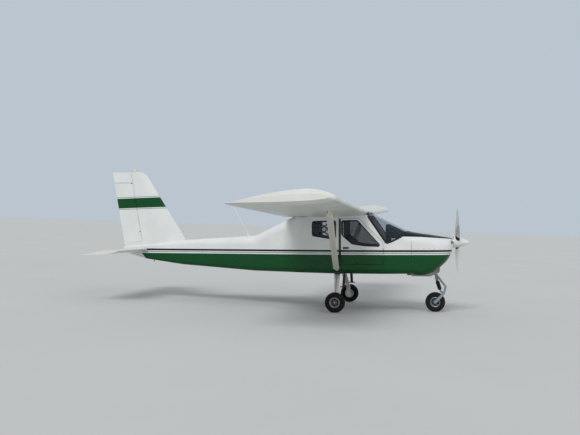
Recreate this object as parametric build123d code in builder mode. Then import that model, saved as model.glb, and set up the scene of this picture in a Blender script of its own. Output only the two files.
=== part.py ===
from build123d import *
import os
from math import atan2, cos, radians, sin, tan

# A two-seat high-wing microlight aeroplane on a tricycle undercarriage.
# The row frame has +X towards the nose, +Y to the left wing and +Z up, with the
# ground at z = 0. The airframe has its own level datum: x forward from the main
# axle, z up from the ground under it, and the parked machine sits nose up by
# SIT_ANGLE on its wheels. Millimetres throughout.

# Parked attitude
SIT_ANGLE = 2.0

# Undercarriage
TRACK = 1925.0
WHEEL_BASE = 1572.0
MAIN_TYRE_RADIUS = 163.0
NOSE_TYRE_RADIUS = 165.0
TYRE_WIDTH = 100.0
TYRE_SHOULDER = 34.0
RIM_RADIUS = 80.0
AXLE_RADIUS = 12.5
RUNNING_CLEARANCE = 0.3
MOVING_GAP = 6.0

# Hull
CABIN_HALF_WIDTH = 550.0
FIREWALL_X = 1200.0
CABIN_REAR_X = -800.0
PANEL_THICKNESS = 14.0
GLASS_THICKNESS = 4.0
DOOR_THICKNESS = 24.0
SILL_Z = 740.0
BELLY_Z = 600.0
FLOOR_Z = BELLY_Z + PANEL_THICKNESS
FIREWALL_THICKNESS = 6.0
COWL_THICKNESS = 8.0
COWL_SPLIT_Z = 985.0
DECK_SEAM_Z = 1216.0
DECK_REAR_X = 1040.0
TAIL_SKIN = 5.0

# Door
DOOR_REAR_X = 16.0
DOOR_FRONT_X = 752.0
DOOR_LOW_Z = 762.0
DOOR_TOP_Z = 1518.0
DOOR_KNEE_Z = 1112.0
DOOR_TOP_FRONT_X = 345.0
DOOR_CORNER = 70.0
HINGE_PIN_RADIUS = 4.0
KNUCKLE_RADIUS = 8.0
KNUCKLE_LENGTH = 34.0
DOOR_HINGE_HEIGHTS = (840.0, 1040.0)

# Wing
WING_CHORD = 1390.0
WING_LEADING_X = 477.0
WING_LEADING_Z = 1605.0
WING_INCIDENCE = 2.7
WING_DIHEDRAL = 1.8
WING_ROOT_Y = 556.0
WING_TIP_RIB_Y = 4180.0
WING_TIP_Y = 4324.0
WING_TIP_CHORD = 1280.0
WING_TIP_THINNING = 0.5
FLAP_HINGE_FRACTION = 0.75
FLAP_NOSE_RADIUS = 46.0
FLAP_INNER_Y = 620.0
FLAP_OUTER_Y = 2480.0
AILERON_HINGE_FRACTION = 0.78
AILERON_NOSE_RADIUS = 42.0
AILERON_INNER_Y = 2520.0
AILERON_OUTER_Y = 4100.0
COVE_GAP = 12.0

# Struts
STRUT_FOOT = (-26.0, 566.0, 672.0)
STRUT_TOP_X = 119.0
STRUT_TOP_Y = 2350.0
STRUT_CHORD = 98.0
STRUT_THICKNESS = 40.0

# Tail
FIN_ROOT_Z = 1040.0
FIN_TOP_Z = 2377.0
FIN_ROOT_LEADING_X = -2749.0
FIN_TOP_LEADING_X = -3600.0
RUDDER_ROOT_TRAILING_X = -3981.0
RUDDER_TOP_TRAILING_X = -4218.0
FIN_THICKNESS_RATIO = 0.09
FIN_TOP_CORNER = 200.0
RUDDER_HINGE_LOW = (-3626.0, 1050.0)
RUDDER_HINGE_TOP = (-3870.0, FIN_TOP_Z)
RUDDER_NOSE_RADIUS = 22.0
BEACON_RADIUS = 34.0
BEACON_AHEAD = 74.0
RUDDER_BOTTOM_Z = 1132.0
STABILATOR_HALF_SPAN = 1450.0
STABILATOR_ROOT_Y = 100.0
STABILATOR_LEADING_X = -3520.0
STABILATOR_CHORD = 640.0
STABILATOR_Z = 972.0
STABILATOR_THICKNESS_RATIO = 0.095
STABILATOR_PIVOT_X = -3700.0
STABILATOR_DROOP = 6.0
STABILATOR_TIP_CORNER = 90.0
TORQUE_TUBE_RADIUS = 22.0
TAB_CHORD = 110.0
TAB_HALF_SPAN = 480.0
TAB_NOSE_RADIUS = 8.0

# Propeller
PROP_AXIS_Z = 1118.0
PROP_PLANE_X = 1950.0
PROP_RADIUS = 830.0
SPINNER_BACK_X = 1884.0
SPINNER_TIP_X = 2145.0
SPINNER_RADIUS = 92.0
PROP_SHAFT_RADIUS = 22.0
PROP_REST_TURN = 50.0

# Nose leg
STEER_RAKE = 8.0
STEER_X = 1580.0
STEER_Z = 640.0
STEER_COLUMN_RADIUS = 22.0
NOSE_HOUSING_RADIUS = 34.0
NOSE_TUBE_RADIUS = 18.0
FORK_HALF_WIDTH = 66.0
FORK_PLATE = 8.0

# Control-surface hinges
HINGE_ARM_THICKNESS = 8.0
HINGE_ARM_HALF_HEIGHT = 10.0
HINGE_EYE_RADIUS = 12.0
HINGE_PIN = 4.0
HINGE_NOTCH_WIDTH = 20.0
HINGE_NOTCH_DEPTH = 24.0
HINGE_PIN_ROOT = 12.0

# Main undercarriage leaf
LEAF_ROOT_WIDTH = 94.0
LEAF_ROOT_X = -35.0
LEAF_TIP_WIDTH = 68.0
LEAF_THICKNESS = 20.0
LEAF_INNER_Y = 60.0
LEAF_KNEE_Y = 400.0
LEAF_OUTER_Y = 862.0
LEAF_BEND_RADIUS = 120.0
DISC_RADIUS = 74.0
DISC_THICKNESS = 5.0
DISC_OFFSET = 58.0
CALIPER_INNER_Y = 824.0
CALIPER_OUTER_Y = 896.0
CALIPER_WIDTH = 40.0
CALIPER_LOW = 36.0
CALIPER_HIGH = 78.0

# Fastening points
TOW_PIN_LENGTH = 14.0
RING_HOLE_RADIUS = 8.0
RING_RADIUS = 16.0
RING_THICKNESS = 8.0
RING_DROP = 20.0
WING_RING_OUTBOARD = 170.0
TAIL_RING_X = -3420.0

# Cabin fittings
PANEL_FACE_X = 786.0
PANEL_PLATE = 20.0
PANEL_LOW_Z = 985.0
HOOD_GAP = 40.0
HOOD_THICKNESS = 4.0
HOOD_FRONT_X = 1110.0
HOOD_LOW_Z = 1190.0

# Directions of the datum in the row frame
FORWARD = Vector(cos(radians(SIT_ANGLE)), 0, sin(radians(SIT_ANGLE)))
UPWARD = Vector(-sin(radians(SIT_ANGLE)), 0, cos(radians(SIT_ANGLE)))


def parked_x(x, z):
    """Row-frame x of a datum point, before the origin is centred."""
    return x * FORWARD.X + z * UPWARD.X


# The origin lies midway between the spinner's tip and the rudder's upper trailing
# corner, which are the two ends of the machine.
NOSE_END = parked_x(SPINNER_TIP_X, PROP_AXIS_Z)
TAIL_END = parked_x(RUDDER_TOP_TRAILING_X, FIN_TOP_Z)
CENTRE_X = (NOSE_END + TAIL_END) / 2

SIDE = Plane(origin=(-CENTRE_X, 0, 0), x_dir=FORWARD, z_dir=(0, -1, 0))
PLAN = Plane(origin=(-CENTRE_X, 0, 0), x_dir=FORWARD, z_dir=UPWARD)
STATION = Plane(origin=(-CENTRE_X, 0, 0), x_dir=(0, 1, 0), z_dir=FORWARD)
BIG = 6000.0


def at(x, y, z):
    """A datum point as a vector in the row frame."""
    return PLAN.from_local_coords(Vector(x, y, z))


def datum(x, y, z):
    """A row-frame point of the undercarriage, from the main axle, in datum values."""
    return PLAN.to_local_coords(Vector(x - CENTRE_X, y, z))


def rod(start, end, radius):
    """A round bar between two row-frame points."""
    reach = end - start
    with BuildPart() as bar:
        with BuildSketch(Plane(origin=start, z_dir=reach)):
            Circle(radius)
        extrude(amount=reach.length)
    return bar.part


def side_slab(points, inner_y, outer_y, corners=None):
    """A side-view polygon extruded between two butt lines on the left."""
    with BuildPart() as slab:
        with BuildSketch(SIDE.offset(-inner_y)) as outline:
            with BuildLine():
                Polyline(*points, close=True)
            make_face()
            if corners:
                for place, radius in corners:
                    fillet(outline.vertices().sort_by_distance(place)[0], radius)
        extrude(amount=inner_y - outer_y)
    return slab.part


def both_sides_slab(points, half_width, corners=None):
    """A side-view polygon extruded to both sides of the centre plane."""
    return side_slab(points, -half_width, half_width, corners)


def upright(rear_x, front_x, low_z, high_z):
    """The side-view outline of an upright rectangle."""
    return ((rear_x, low_z), (front_x, low_z), (front_x, high_z), (rear_x, high_z))


def mirrored(left):
    """The right-hand twin of a left-hand part."""
    with BuildPart() as right:
        add(mirror(left, about=Plane.XZ))
    return right.part


def write(piece, name):
    """Label a finished piece and write it."""
    piece.label = name
    export_step(piece, "parts/" + name + ".step")


# Hull form
# Each station is a rounded rectangle: x, half width, low z, high z, low corner
# radius, high corner radius.
CABIN_STATIONS = (
    (CABIN_REAR_X, 470.0, 612.0, 1548.0, 100.0, 150.0),
    (-640.0, 492.0, 608.0, 1640.0, 96.0, 60.0),
    (-100.0, CABIN_HALF_WIDTH, BELLY_Z, 1640.0, 90.0, 60.0),
    (440.0, CABIN_HALF_WIDTH, BELLY_Z, 1640.0, 90.0, 60.0),
    (780.0, CABIN_HALF_WIDTH, BELLY_Z, 1466.0, 90.0, 150.0),
    (1120.0, 497.0, 603.0, 1303.0, 95.0, 170.0),
    (FIREWALL_X, 480.0, 605.0, 1288.0, 100.0, 175.0),
)
TAIL_STATIONS = (
    (CABIN_REAR_X, 470.0, 612.0, 1548.0, 100.0, 150.0),
    (-1480.0, 372.0, 626.0, 1232.0, 90.0, 150.0),
    (-2830.0, 180.0, 718.0, 1150.0, 60.0, 90.0),
    (-3560.0, 78.0, 815.0, 1068.0, 30.0, 40.0),
    (-3990.0, 34.0, 940.0, 1030.0, 12.0, 20.0),
)
COWL_STATIONS = (
    (FIREWALL_X, 480.0, 605.0, 1288.0, 100.0, 175.0),
    (1500.0, 440.0, 610.0, 1243.0, 130.0, 175.0),
    (1680.0, 372.0, 722.0, 1216.0, 150.0, 165.0),
    (1800.0, 272.0, 850.0, 1197.0, 140.0, 130.0),
    (1862.0, 130.0, 1005.0, 1186.0, 78.0, 78.0),
)


def hull_section(station, inset):
    """One rounded-rectangle cross-section, drawn inwards by the inset."""
    x, half_width, low, high, low_corner, high_corner = station
    side = half_width - inset
    with BuildSketch(STATION.offset(x)) as section:
        with BuildLine():
            floor = low + inset
            roof = high - inset
            Polyline((-side, floor), (side, floor), (side, roof), (-side, roof), close=True)
        make_face()
        fillet(section.vertices().group_by(Axis.Y)[0], low_corner - inset)
        fillet(section.vertices().group_by(Axis.Y)[-1], high_corner - inset)
    return section.sketch


def hull_form(stations, inset=0.0, ruled=True):
    """The solid form through a table of stations."""
    with BuildPart() as form:
        loft([hull_section(row, inset) for row in stations], ruled=ruled)
    return form.part


CABIN_FORM = hull_form(CABIN_STATIONS)


def cabin_skin(thickness):
    """The cabin's outer skin as an open tube of the given thickness."""
    with BuildPart() as skin:
        add(CABIN_FORM)
        add(hull_form(CABIN_STATIONS, thickness), mode=Mode.SUBTRACT)
    return skin.part


CABIN_SKIN = cabin_skin(PANEL_THICKNESS)
GLASS_SKIN = cabin_skin(GLASS_THICKNESS)
DOOR_SKIN = cabin_skin(DOOR_THICKNESS)


# Wing section
def wing_point(a, b, chord=WING_CHORD, nose_x=WING_LEADING_X, nose_z=WING_LEADING_Z):
    """Side-view point a fraction a aft along the chord and b above it."""
    c = cos(radians(WING_INCIDENCE))
    s = sin(radians(WING_INCIDENCE))
    return (nose_x - chord * (a * c + b * s), nose_z + chord * (b * c - a * s))


def wing_rise(y):
    """Height that the dihedral adds at a butt line."""
    return y * sin(radians(WING_DIHEDRAL)) / cos(radians(WING_DIHEDRAL))


def nose_arc_end(height, crest, crest_share, dip):
    """Chord share where a nose arc ends so that the next arc runs level at the crest."""
    slope = 2 * atan2(crest - height, crest_share - 0.02) + radians(dip)
    return height * tan(radians(45) - slope / 2)


def wing_section(y, rise, chord=WING_CHORD, nose_x=WING_LEADING_X, thinning=1.0):
    """The cambered section at one butt line, from tangent arcs."""

    def p(a, b):
        return wing_point(a, b * thinning, chord, nose_x, WING_LEADING_Z + rise)

    top_nose = nose_arc_end(0.033 * thinning, 0.098 * thinning, 0.30, 1.4 * thinning)
    low_nose = nose_arc_end(0.0215 * thinning, 0.041 * thinning, 0.25, 0.5 * thinning)
    up = (-sin(radians(WING_INCIDENCE)), cos(radians(WING_INCIDENCE)))
    down = (-up[0], -up[1])
    with BuildSketch(SIDE.offset(-y)) as section:
        with BuildLine():
            nose_top = TangentArc(p(0, 0), p(top_nose, 0.033), tangent=up)
            top_fore = TangentArc(nose_top @ 1, p(0.30, 0.098), tangent=nose_top % 1)
            top_aft = TangentArc(top_fore @ 1, p(1.0, 0.003), tangent=top_fore % 1)
            nose_low = TangentArc(p(0, 0), p(low_nose, -0.0215), tangent=down)
            low_fore = TangentArc(nose_low @ 1, p(0.25, -0.041), tangent=nose_low % 1)
            low_mid = TangentArc(low_fore @ 1, p(0.60, -0.026), tangent=low_fore % 1)
            low_aft = TangentArc(low_mid @ 1, p(1.0, -0.002), tangent=low_mid % 1)
            Line(top_aft @ 1, low_aft @ 1)
        make_face()
    return section.sketch


def wing_form():
    """The whole left wing panel before its moving surfaces are parted off."""
    with BuildPart() as form:
        root = wing_section(WING_ROOT_Y, wing_rise(WING_ROOT_Y))
        rib = wing_section(WING_TIP_RIB_Y, wing_rise(WING_TIP_RIB_Y))
        tip_nose = WING_LEADING_X - 86.0
        tip = wing_section(WING_TIP_Y, wing_rise(WING_TIP_Y), WING_TIP_CHORD, tip_nose, WING_TIP_THINNING)
        loft([root, rib])
        loft([rib, tip])
    return form.part


WING_FORM = wing_form()


def roof_form():
    """The centre section that carries the wing across the cabin."""
    with BuildPart() as form:
        extrude(wing_section(-WING_ROOT_Y, wing_rise(WING_ROOT_Y)), amount=-2 * WING_ROOT_Y)
    return form.part


ROOF_FORM = roof_form()


# Tail sections
def lens_section(plane, nose, chord, ratio):
    """A symmetrical section of tangent arcs, its nose at (nose, 0) and running aft."""
    t = ratio / 0.09
    nose_share = nose_arc_end(0.0155 * t, 0.045 * t, 0.3625, 2.2 * t)

    def p(a, b):
        return (nose - chord * a, chord * b * t)

    with BuildSketch(plane) as section:
        with BuildLine():
            nose_top = TangentArc(p(0, 0), p(nose_share, 0.0155), tangent=(0, 1))
            top_fore = TangentArc(nose_top @ 1, p(0.35, 0.045), tangent=nose_top % 1)
            top_aft = TangentArc(top_fore @ 1, p(1.0, 0.003), tangent=top_fore % 1)
            Line(top_aft @ 1, p(1.0, -0.003))
            mirror(about=Plane.XZ)
        make_face()
    return section.sketch


def hinge_x(z):
    """The rudder hinge's x at a height."""
    share = (z - RUDDER_HINGE_LOW[1]) / (RUDDER_HINGE_TOP[1] - RUDDER_HINGE_LOW[1])
    return RUDDER_HINGE_LOW[0] + share * (RUDDER_HINGE_TOP[0] - RUDDER_HINGE_LOW[0])


def vertical_tail_form():
    """Fin and rudder as one form, its upper front corner rounded."""
    root_chord = FIN_ROOT_LEADING_X - RUDDER_ROOT_TRAILING_X
    top_chord = FIN_TOP_LEADING_X - RUDDER_TOP_TRAILING_X
    behind = RUDDER_TOP_TRAILING_X - 50
    with BuildPart() as form:
        loft([
            lens_section(PLAN.offset(FIN_ROOT_Z), FIN_ROOT_LEADING_X, root_chord, FIN_THICKNESS_RATIO),
            lens_section(PLAN.offset(FIN_TOP_Z), FIN_TOP_LEADING_X, top_chord, FIN_THICKNESS_RATIO),
        ])
        outline = (
            (FIN_ROOT_LEADING_X, FIN_ROOT_Z),
            (FIN_TOP_LEADING_X, FIN_TOP_Z),
            (behind, FIN_TOP_Z),
            (behind, FIN_ROOT_Z),
        )
        corner = (((FIN_TOP_LEADING_X, FIN_TOP_Z), FIN_TOP_CORNER),)
        add(both_sides_slab(outline, 200.0, corner), mode=Mode.INTERSECT)
    return form.part


TAIL_FORM = vertical_tail_form()
TAIL_CONE_FORM = hull_form(TAIL_STATIONS)

os.makedirs("parts", exist_ok=True)


# Cabin panels
DOOR_OUTLINE = (
    (DOOR_REAR_X, DOOR_LOW_Z),
    (DOOR_FRONT_X, DOOR_LOW_Z),
    (DOOR_FRONT_X, DOOR_KNEE_Z),
    (DOOR_TOP_FRONT_X, DOOR_TOP_Z),
    (DOOR_REAR_X, DOOR_TOP_Z),
)
WINDOW_OUTLINE = (
    (68.0, 1250.0),
    (236.0, 1102.0),
    (440.0, 1072.0),
    (702.0, 1062.0),
    (322.0, 1480.0),
    (68.0, 1476.0),
)
WINDOW_CORNERS = (
    ((68.0, 1250.0), 70.0),
    ((236.0, 1102.0), 70.0),
    ((702.0, 1062.0), 16.0),
    ((322.0, 1480.0), 30.0),
    ((68.0, 1476.0), 24.0),
)
REAR_WINDOW_OUTLINE = (
    (-432.0, 1236.0),
    (-150.0, 1192.0),
    (-44.0, 1192.0),
    (-44.0, 1474.0),
    (-432.0, 1462.0),
)
REAR_WINDOW_CORNERS = (
    ((-432.0, 1236.0), 26.0),
    ((-44.0, 1192.0), 26.0),
    ((-44.0, 1474.0), 26.0),
    ((-432.0, 1462.0), 26.0),
)
GLASS_OUTLINE = (
    (800.0, 1108.0),
    (890.0, 1140.0),
    (1060.0, 1226.0),
    (1126.0, 1302.0),
    (1126.0, 1500.0),
    (560.0, 1700.0),
    (396.0, 1700.0),
)


def grown(points, amount):
    """A side-view polygon grown outwards by an amount."""
    with BuildSketch(Plane.XY) as outline:
        with BuildLine():
            Polyline(*points, close=True)
        make_face()
        offset(amount=amount, kind=Kind.INTERSECTION)
    wire = outline.sketch.face().outer_wire()
    return [(edge.position_at(0).X, edge.position_at(0).Y) for edge in wire.order_edges()]


def build_cabin_tub():
    """Floor and lower sides up to the sill."""
    with BuildPart() as tub:
        add(CABIN_SKIN)
        add(both_sides_slab(upright(CABIN_REAR_X, FIREWALL_X, 500.0, SILL_Z), BIG), mode=Mode.INTERSECT)
    return tub.part


def build_side_left():
    """Left cabin side with its doorway and rear window opening."""
    region = (
        (CABIN_REAR_X, SILL_Z),
        (FIREWALL_X, SILL_Z),
        (FIREWALL_X, DECK_SEAM_Z),
        (DECK_REAR_X, DECK_SEAM_Z),
        (DECK_REAR_X, 1700.0),
        (CABIN_REAR_X, 1700.0),
    )
    with BuildPart() as side:
        add(CABIN_SKIN)
        add(side_slab(region, 60.0, BIG), mode=Mode.INTERSECT)
        add(both_sides_slab(GLASS_OUTLINE, BIG), mode=Mode.SUBTRACT)
        corner = (((DOOR_REAR_X - MOVING_GAP, DOOR_LOW_Z - MOVING_GAP), DOOR_CORNER + MOVING_GAP),)
        add(side_slab(grown(DOOR_OUTLINE, MOVING_GAP), 0, BIG, corner), mode=Mode.SUBTRACT)
        add(side_slab(REAR_WINDOW_OUTLINE, 0, BIG, REAR_WINDOW_CORNERS), mode=Mode.SUBTRACT)
        add(ROOF_FORM, mode=Mode.SUBTRACT)
        above = (wing_point(-0.2, -0.02), wing_point(-0.2, 0.4), wing_point(1.2, 0.4), wing_point(1.2, 0.0))
        add(both_sides_slab(above, BIG), mode=Mode.SUBTRACT)
    return side.part


def build_front_deck():
    """The scuttle between the firewall and the windshield's lower edge."""
    with BuildPart() as deck:
        add(CABIN_SKIN)
        add(both_sides_slab(upright(DECK_REAR_X, FIREWALL_X, DECK_SEAM_Z, 1700.0), BIG), mode=Mode.INTERSECT)
        add(both_sides_slab(GLASS_OUTLINE, BIG), mode=Mode.SUBTRACT)
    return deck.part


def build_windshield():
    """The wrapped windshield between the deck, the pillars and the wing's nose."""
    with BuildPart() as glass:
        add(GLASS_SKIN)
        add(both_sides_slab(GLASS_OUTLINE, BIG), mode=Mode.INTERSECT)
        add(ROOF_FORM, mode=Mode.SUBTRACT)
        add(both_sides_slab(upright(-900.0, WING_LEADING_X - 4, 1640.0, 1800.0), BIG), mode=Mode.SUBTRACT)
    return glass.part


def build_rear_window_left():
    """The left rear side window, seated in its opening."""
    with BuildPart() as glass:
        add(GLASS_SKIN)
        pane = grown(REAR_WINDOW_OUTLINE, -RUNNING_CLEARANCE)
        add(side_slab(pane, 60.0, BIG, REAR_WINDOW_CORNERS), mode=Mode.INTERSECT)
    return glass.part


CABIN_CORE = hull_form(CABIN_STATIONS, PANEL_THICKNESS)


def build_firewall():
    """The firewall plate inside the hull skin."""
    front = upright(FIREWALL_X - FIREWALL_THICKNESS, FIREWALL_X, 500.0, 1500.0)
    with BuildPart() as plate:
        add(CABIN_CORE)
        add(both_sides_slab(front, BIG), mode=Mode.INTERSECT)
    return plate.part


def build_rear_bulkhead():
    """The panel that closes the luggage space."""
    zone = upright(CABIN_REAR_X, CABIN_REAR_X + FIREWALL_THICKNESS, 500.0, 1800.0)
    with BuildPart() as plate:
        add(CABIN_CORE)
        add(both_sides_slab(zone, BIG), mode=Mode.INTERSECT)
        add(ROOF_FORM, mode=Mode.SUBTRACT)
    return plate.part.solids().sort_by(SortBy.VOLUME)[-1]


def build_instrument_panel():
    """The panel across the cabin, seated on both cabin sides, with its glare hood under the glass."""
    back_x = PANEL_FACE_X + PANEL_PLATE
    with BuildPart() as hood:
        add(hull_form(CABIN_STATIONS, HOOD_GAP))
        add(hull_form(CABIN_STATIONS, HOOD_GAP + HOOD_THICKNESS), mode=Mode.SUBTRACT)
        kept = upright(PANEL_FACE_X, HOOD_FRONT_X, HOOD_LOW_Z, 1700.0)
        add(both_sides_slab(kept, BIG), mode=Mode.INTERSECT)
    with BuildPart() as face:
        add(hull_form(CABIN_STATIONS, HOOD_GAP))
        add(both_sides_slab(upright(PANEL_FACE_X, back_x, PANEL_LOW_Z, 1700.0), BIG), mode=Mode.INTERSECT)
    with BuildPart() as panel:
        add(CABIN_CORE)
        seated = upright(PANEL_FACE_X, back_x, PANEL_LOW_Z, DOOR_KNEE_Z - 24.0)
        add(both_sides_slab(seated, BIG), mode=Mode.INTERSECT)
        add(face.part)
        add(hood.part)
    return panel.part


# Doors
HINGE_X = DOOR_FRONT_X + MOVING_GAP / 2
HINGE_Y = CABIN_HALF_WIDTH + KNUCKLE_RADIUS


def build_door_left():
    """The left door frame with its window opening and hinge knuckles."""
    with BuildPart() as door:
        add(DOOR_SKIN)
        corner = (((DOOR_REAR_X, DOOR_LOW_Z), DOOR_CORNER),)
        add(side_slab(DOOR_OUTLINE, 60.0, BIG, corner), mode=Mode.INTERSECT)
        add(side_slab(WINDOW_OUTLINE, 0, BIG, WINDOW_CORNERS), mode=Mode.SUBTRACT)
        for height in DOOR_HINGE_HEIGHTS:
            add(knuckle(height, -0.5, -1))
            add(knuckle(height, 1.5, -1))
    return door.part


def knuckle(height, step, direction):
    """One hinge knuckle: a barrel on the hinge axis with a leaf along the skin."""
    length = KNUCKLE_LENGTH - RUNNING_CLEARANCE
    low = height + step * KNUCKLE_LENGTH
    with BuildPart() as barrel:
        with BuildSketch(PLAN.offset(low)):
            with Locations((HINGE_X, HINGE_Y)):
                Circle(KNUCKLE_RADIUS)
            with Locations((HINGE_X + direction * 18.0, CABIN_HALF_WIDTH + 2.0)):
                Rectangle(36.0, 4.0)
            with Locations((HINGE_X, HINGE_Y)):
                Circle(HINGE_PIN_RADIUS + RUNNING_CLEARANCE, mode=Mode.SUBTRACT)
        extrude(amount=length)
    return barrel.part


def build_hinge_left():
    """The fixed knuckle of each door hinge with its pin."""
    with BuildPart() as hinges:
        for height in DOOR_HINGE_HEIGHTS:
            with BuildSketch(PLAN.offset(height + 0.5 * KNUCKLE_LENGTH)):
                with Locations((HINGE_X, HINGE_Y)):
                    Circle(KNUCKLE_RADIUS)
                with Locations((HINGE_X + 18.0, CABIN_HALF_WIDTH + 2.0)):
                    Rectangle(36.0, 4.0)
            extrude(amount=KNUCKLE_LENGTH - RUNNING_CLEARANCE)
            with BuildSketch(PLAN.offset(height - 0.5 * KNUCKLE_LENGTH)):
                with Locations((HINGE_X, HINGE_Y)):
                    Circle(HINGE_PIN_RADIUS)
            extrude(amount=3 * KNUCKLE_LENGTH)
    return hinges.part


def build_door_glass_left():
    """The left door window, seated in its opening."""
    with BuildPart() as glass:
        add(GLASS_SKIN)
        pane = grown(WINDOW_OUTLINE, -RUNNING_CLEARANCE)
        add(side_slab(pane, 60.0, BIG, WINDOW_CORNERS), mode=Mode.INTERSECT)
    return glass.part


# Cowling
def cowl_form(inset):
    """The cowling's form, its front face drawn back by the inset as well."""
    stations = COWL_STATIONS[:-1] + ((COWL_STATIONS[-1][0] - inset,) + COWL_STATIONS[-1][1:],)
    return hull_form(stations, inset, ruled=False)


COWL_FORM = cowl_form(0.0)
STEER_DIRECTION = at(-sin(radians(STEER_RAKE)), 0, cos(radians(STEER_RAKE))) - at(0, 0, 0)
STEER_POINT = at(STEER_X, 0, STEER_Z)


def build_cowl():
    """The hollow cowling with its air intakes and the nose leg's opening."""
    with BuildPart() as cowl:
        add(COWL_FORM)
        add(cowl_form(COWL_THICKNESS), mode=Mode.SUBTRACT)
        with BuildSketch(STATION.offset(1740.0)):
            with Locations((0, PROP_AXIS_Z)):
                Circle(PROP_SHAFT_RADIUS + MOVING_GAP)
            with Locations((-150.0, 1104.0), (150.0, 1104.0)):
                Ellipse(52.0, 36.0)
        extrude(amount=200.0, mode=Mode.SUBTRACT)
        with BuildSketch(Plane(origin=STEER_POINT, z_dir=STEER_DIRECTION)):
            Circle(NOSE_HOUSING_RADIUS)
        extrude(amount=90.0, both=True, mode=Mode.SUBTRACT)
        add(EXHAUST, mode=Mode.SUBTRACT)
    return cowl.part


def pipe(points, bends, radius, wall=0.0):
    """A bar or tube swept along straight runs joined by tangent bends."""
    with BuildPart() as tube:
        with BuildLine() as route:
            FilletPolyline(*points, radius=bends)
        with BuildSketch(Plane(origin=route.line @ 0, z_dir=route.line % 0)):
            Circle(radius)
            if wall:
                Circle(radius - wall, mode=Mode.SUBTRACT)
        sweep()
    return tube.part


EXHAUST_ROUTE = (at(1300, 0, 846), at(1276, 0, 580), at(1108, 0, 573))
EXHAUST_RADIUS = 18.0
EXHAUST = pipe(EXHAUST_ROUTE, 60.0, EXHAUST_RADIUS)


def build_exhaust():
    """The exhaust tail pipe, open at its lower end."""
    with BuildPart() as tube:
        add(EXHAUST)
        inward = (EXHAUST_ROUTE[1] - EXHAUST_ROUTE[2]) * 0.5
        add(rod(EXHAUST_ROUTE[2], EXHAUST_ROUTE[2] + inward, EXHAUST_RADIUS - 2.5), mode=Mode.SUBTRACT)
    return tube.part


DUCT_REAR_X = 1184.0
DUCT_LOW_Z = 545.0
DUCT_HALF_WIDTH = 150.0
DUCT_CORNER = 42.0
DUCT_WALL = 4.0


def duct_form(inset, rear_x):
    """The flat-bottomed fairing below the cowling, its nose sloping up around the steering bearing."""
    low = DUCT_LOW_Z + inset
    outline = (
        (rear_x, low),
        (1500.0, low),
        (1650.0 - inset, 614.0 + inset),
        (1664.0 - inset, 740.0),
        (rear_x, 740.0),
    )
    with BuildPart() as form:
        with BuildSketch(STATION.offset(rear_x)) as section:
            with BuildLine():
                side = DUCT_HALF_WIDTH - inset
                Polyline((-side, low), (side, low), (side, 740.0), (-side, 740.0), close=True)
            make_face()
            fillet(section.vertices().group_by(Axis.Y)[0], DUCT_CORNER - inset)
        extrude(amount=600.0)
        add(both_sides_slab(outline, BIG), mode=Mode.INTERSECT)
    return form.part


def build_cooling_duct():
    """The air outlet duct below the cowling, open at the rear, with a hole for the nose leg."""
    with BuildPart() as duct:
        add(duct_form(0.0, DUCT_REAR_X))
        add(duct_form(DUCT_WALL, DUCT_REAR_X - 40.0), mode=Mode.SUBTRACT)
        add(COWL_FORM, mode=Mode.SUBTRACT)
        add(CABIN_FORM, mode=Mode.SUBTRACT)
        reach = STEER_DIRECTION * 120.0
        hole = rod(STEER_POINT - reach, STEER_POINT + reach, NOSE_HOUSING_RADIUS + MOVING_GAP)
        add(hole, mode=Mode.SUBTRACT)
    return duct.part


def build_engine():
    """The engine as one block with its gearbox and propeller-shaft bore."""
    with BuildPart() as block:
        with BuildSketch(STATION.offset(1290.0)):
            with Locations((0, 985.0)):
                RectangleRounded(440.0, 270.0, 30.0)
        extrude(amount=400.0)
        with BuildSketch(STATION.offset(1690.0)):
            with Locations((0, PROP_AXIS_Z - 10)):
                Circle(74.0)
        extrude(amount=130.0)
        with BuildSketch(STATION.offset(1740.0)):
            with Locations((0, PROP_AXIS_Z)):
                Circle(PROP_SHAFT_RADIUS + RUNNING_CLEARANCE)
        extrude(amount=100.0, mode=Mode.SUBTRACT)
        for side in (-1, 1):
            add(rod(at(FIREWALL_X, side * 190, 900), at(1292, side * 190, 900), 14.0))
            add(rod(at(FIREWALL_X, side * 190, 1080), at(1292, side * 190, 1080), 14.0))
    return block.part


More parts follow.
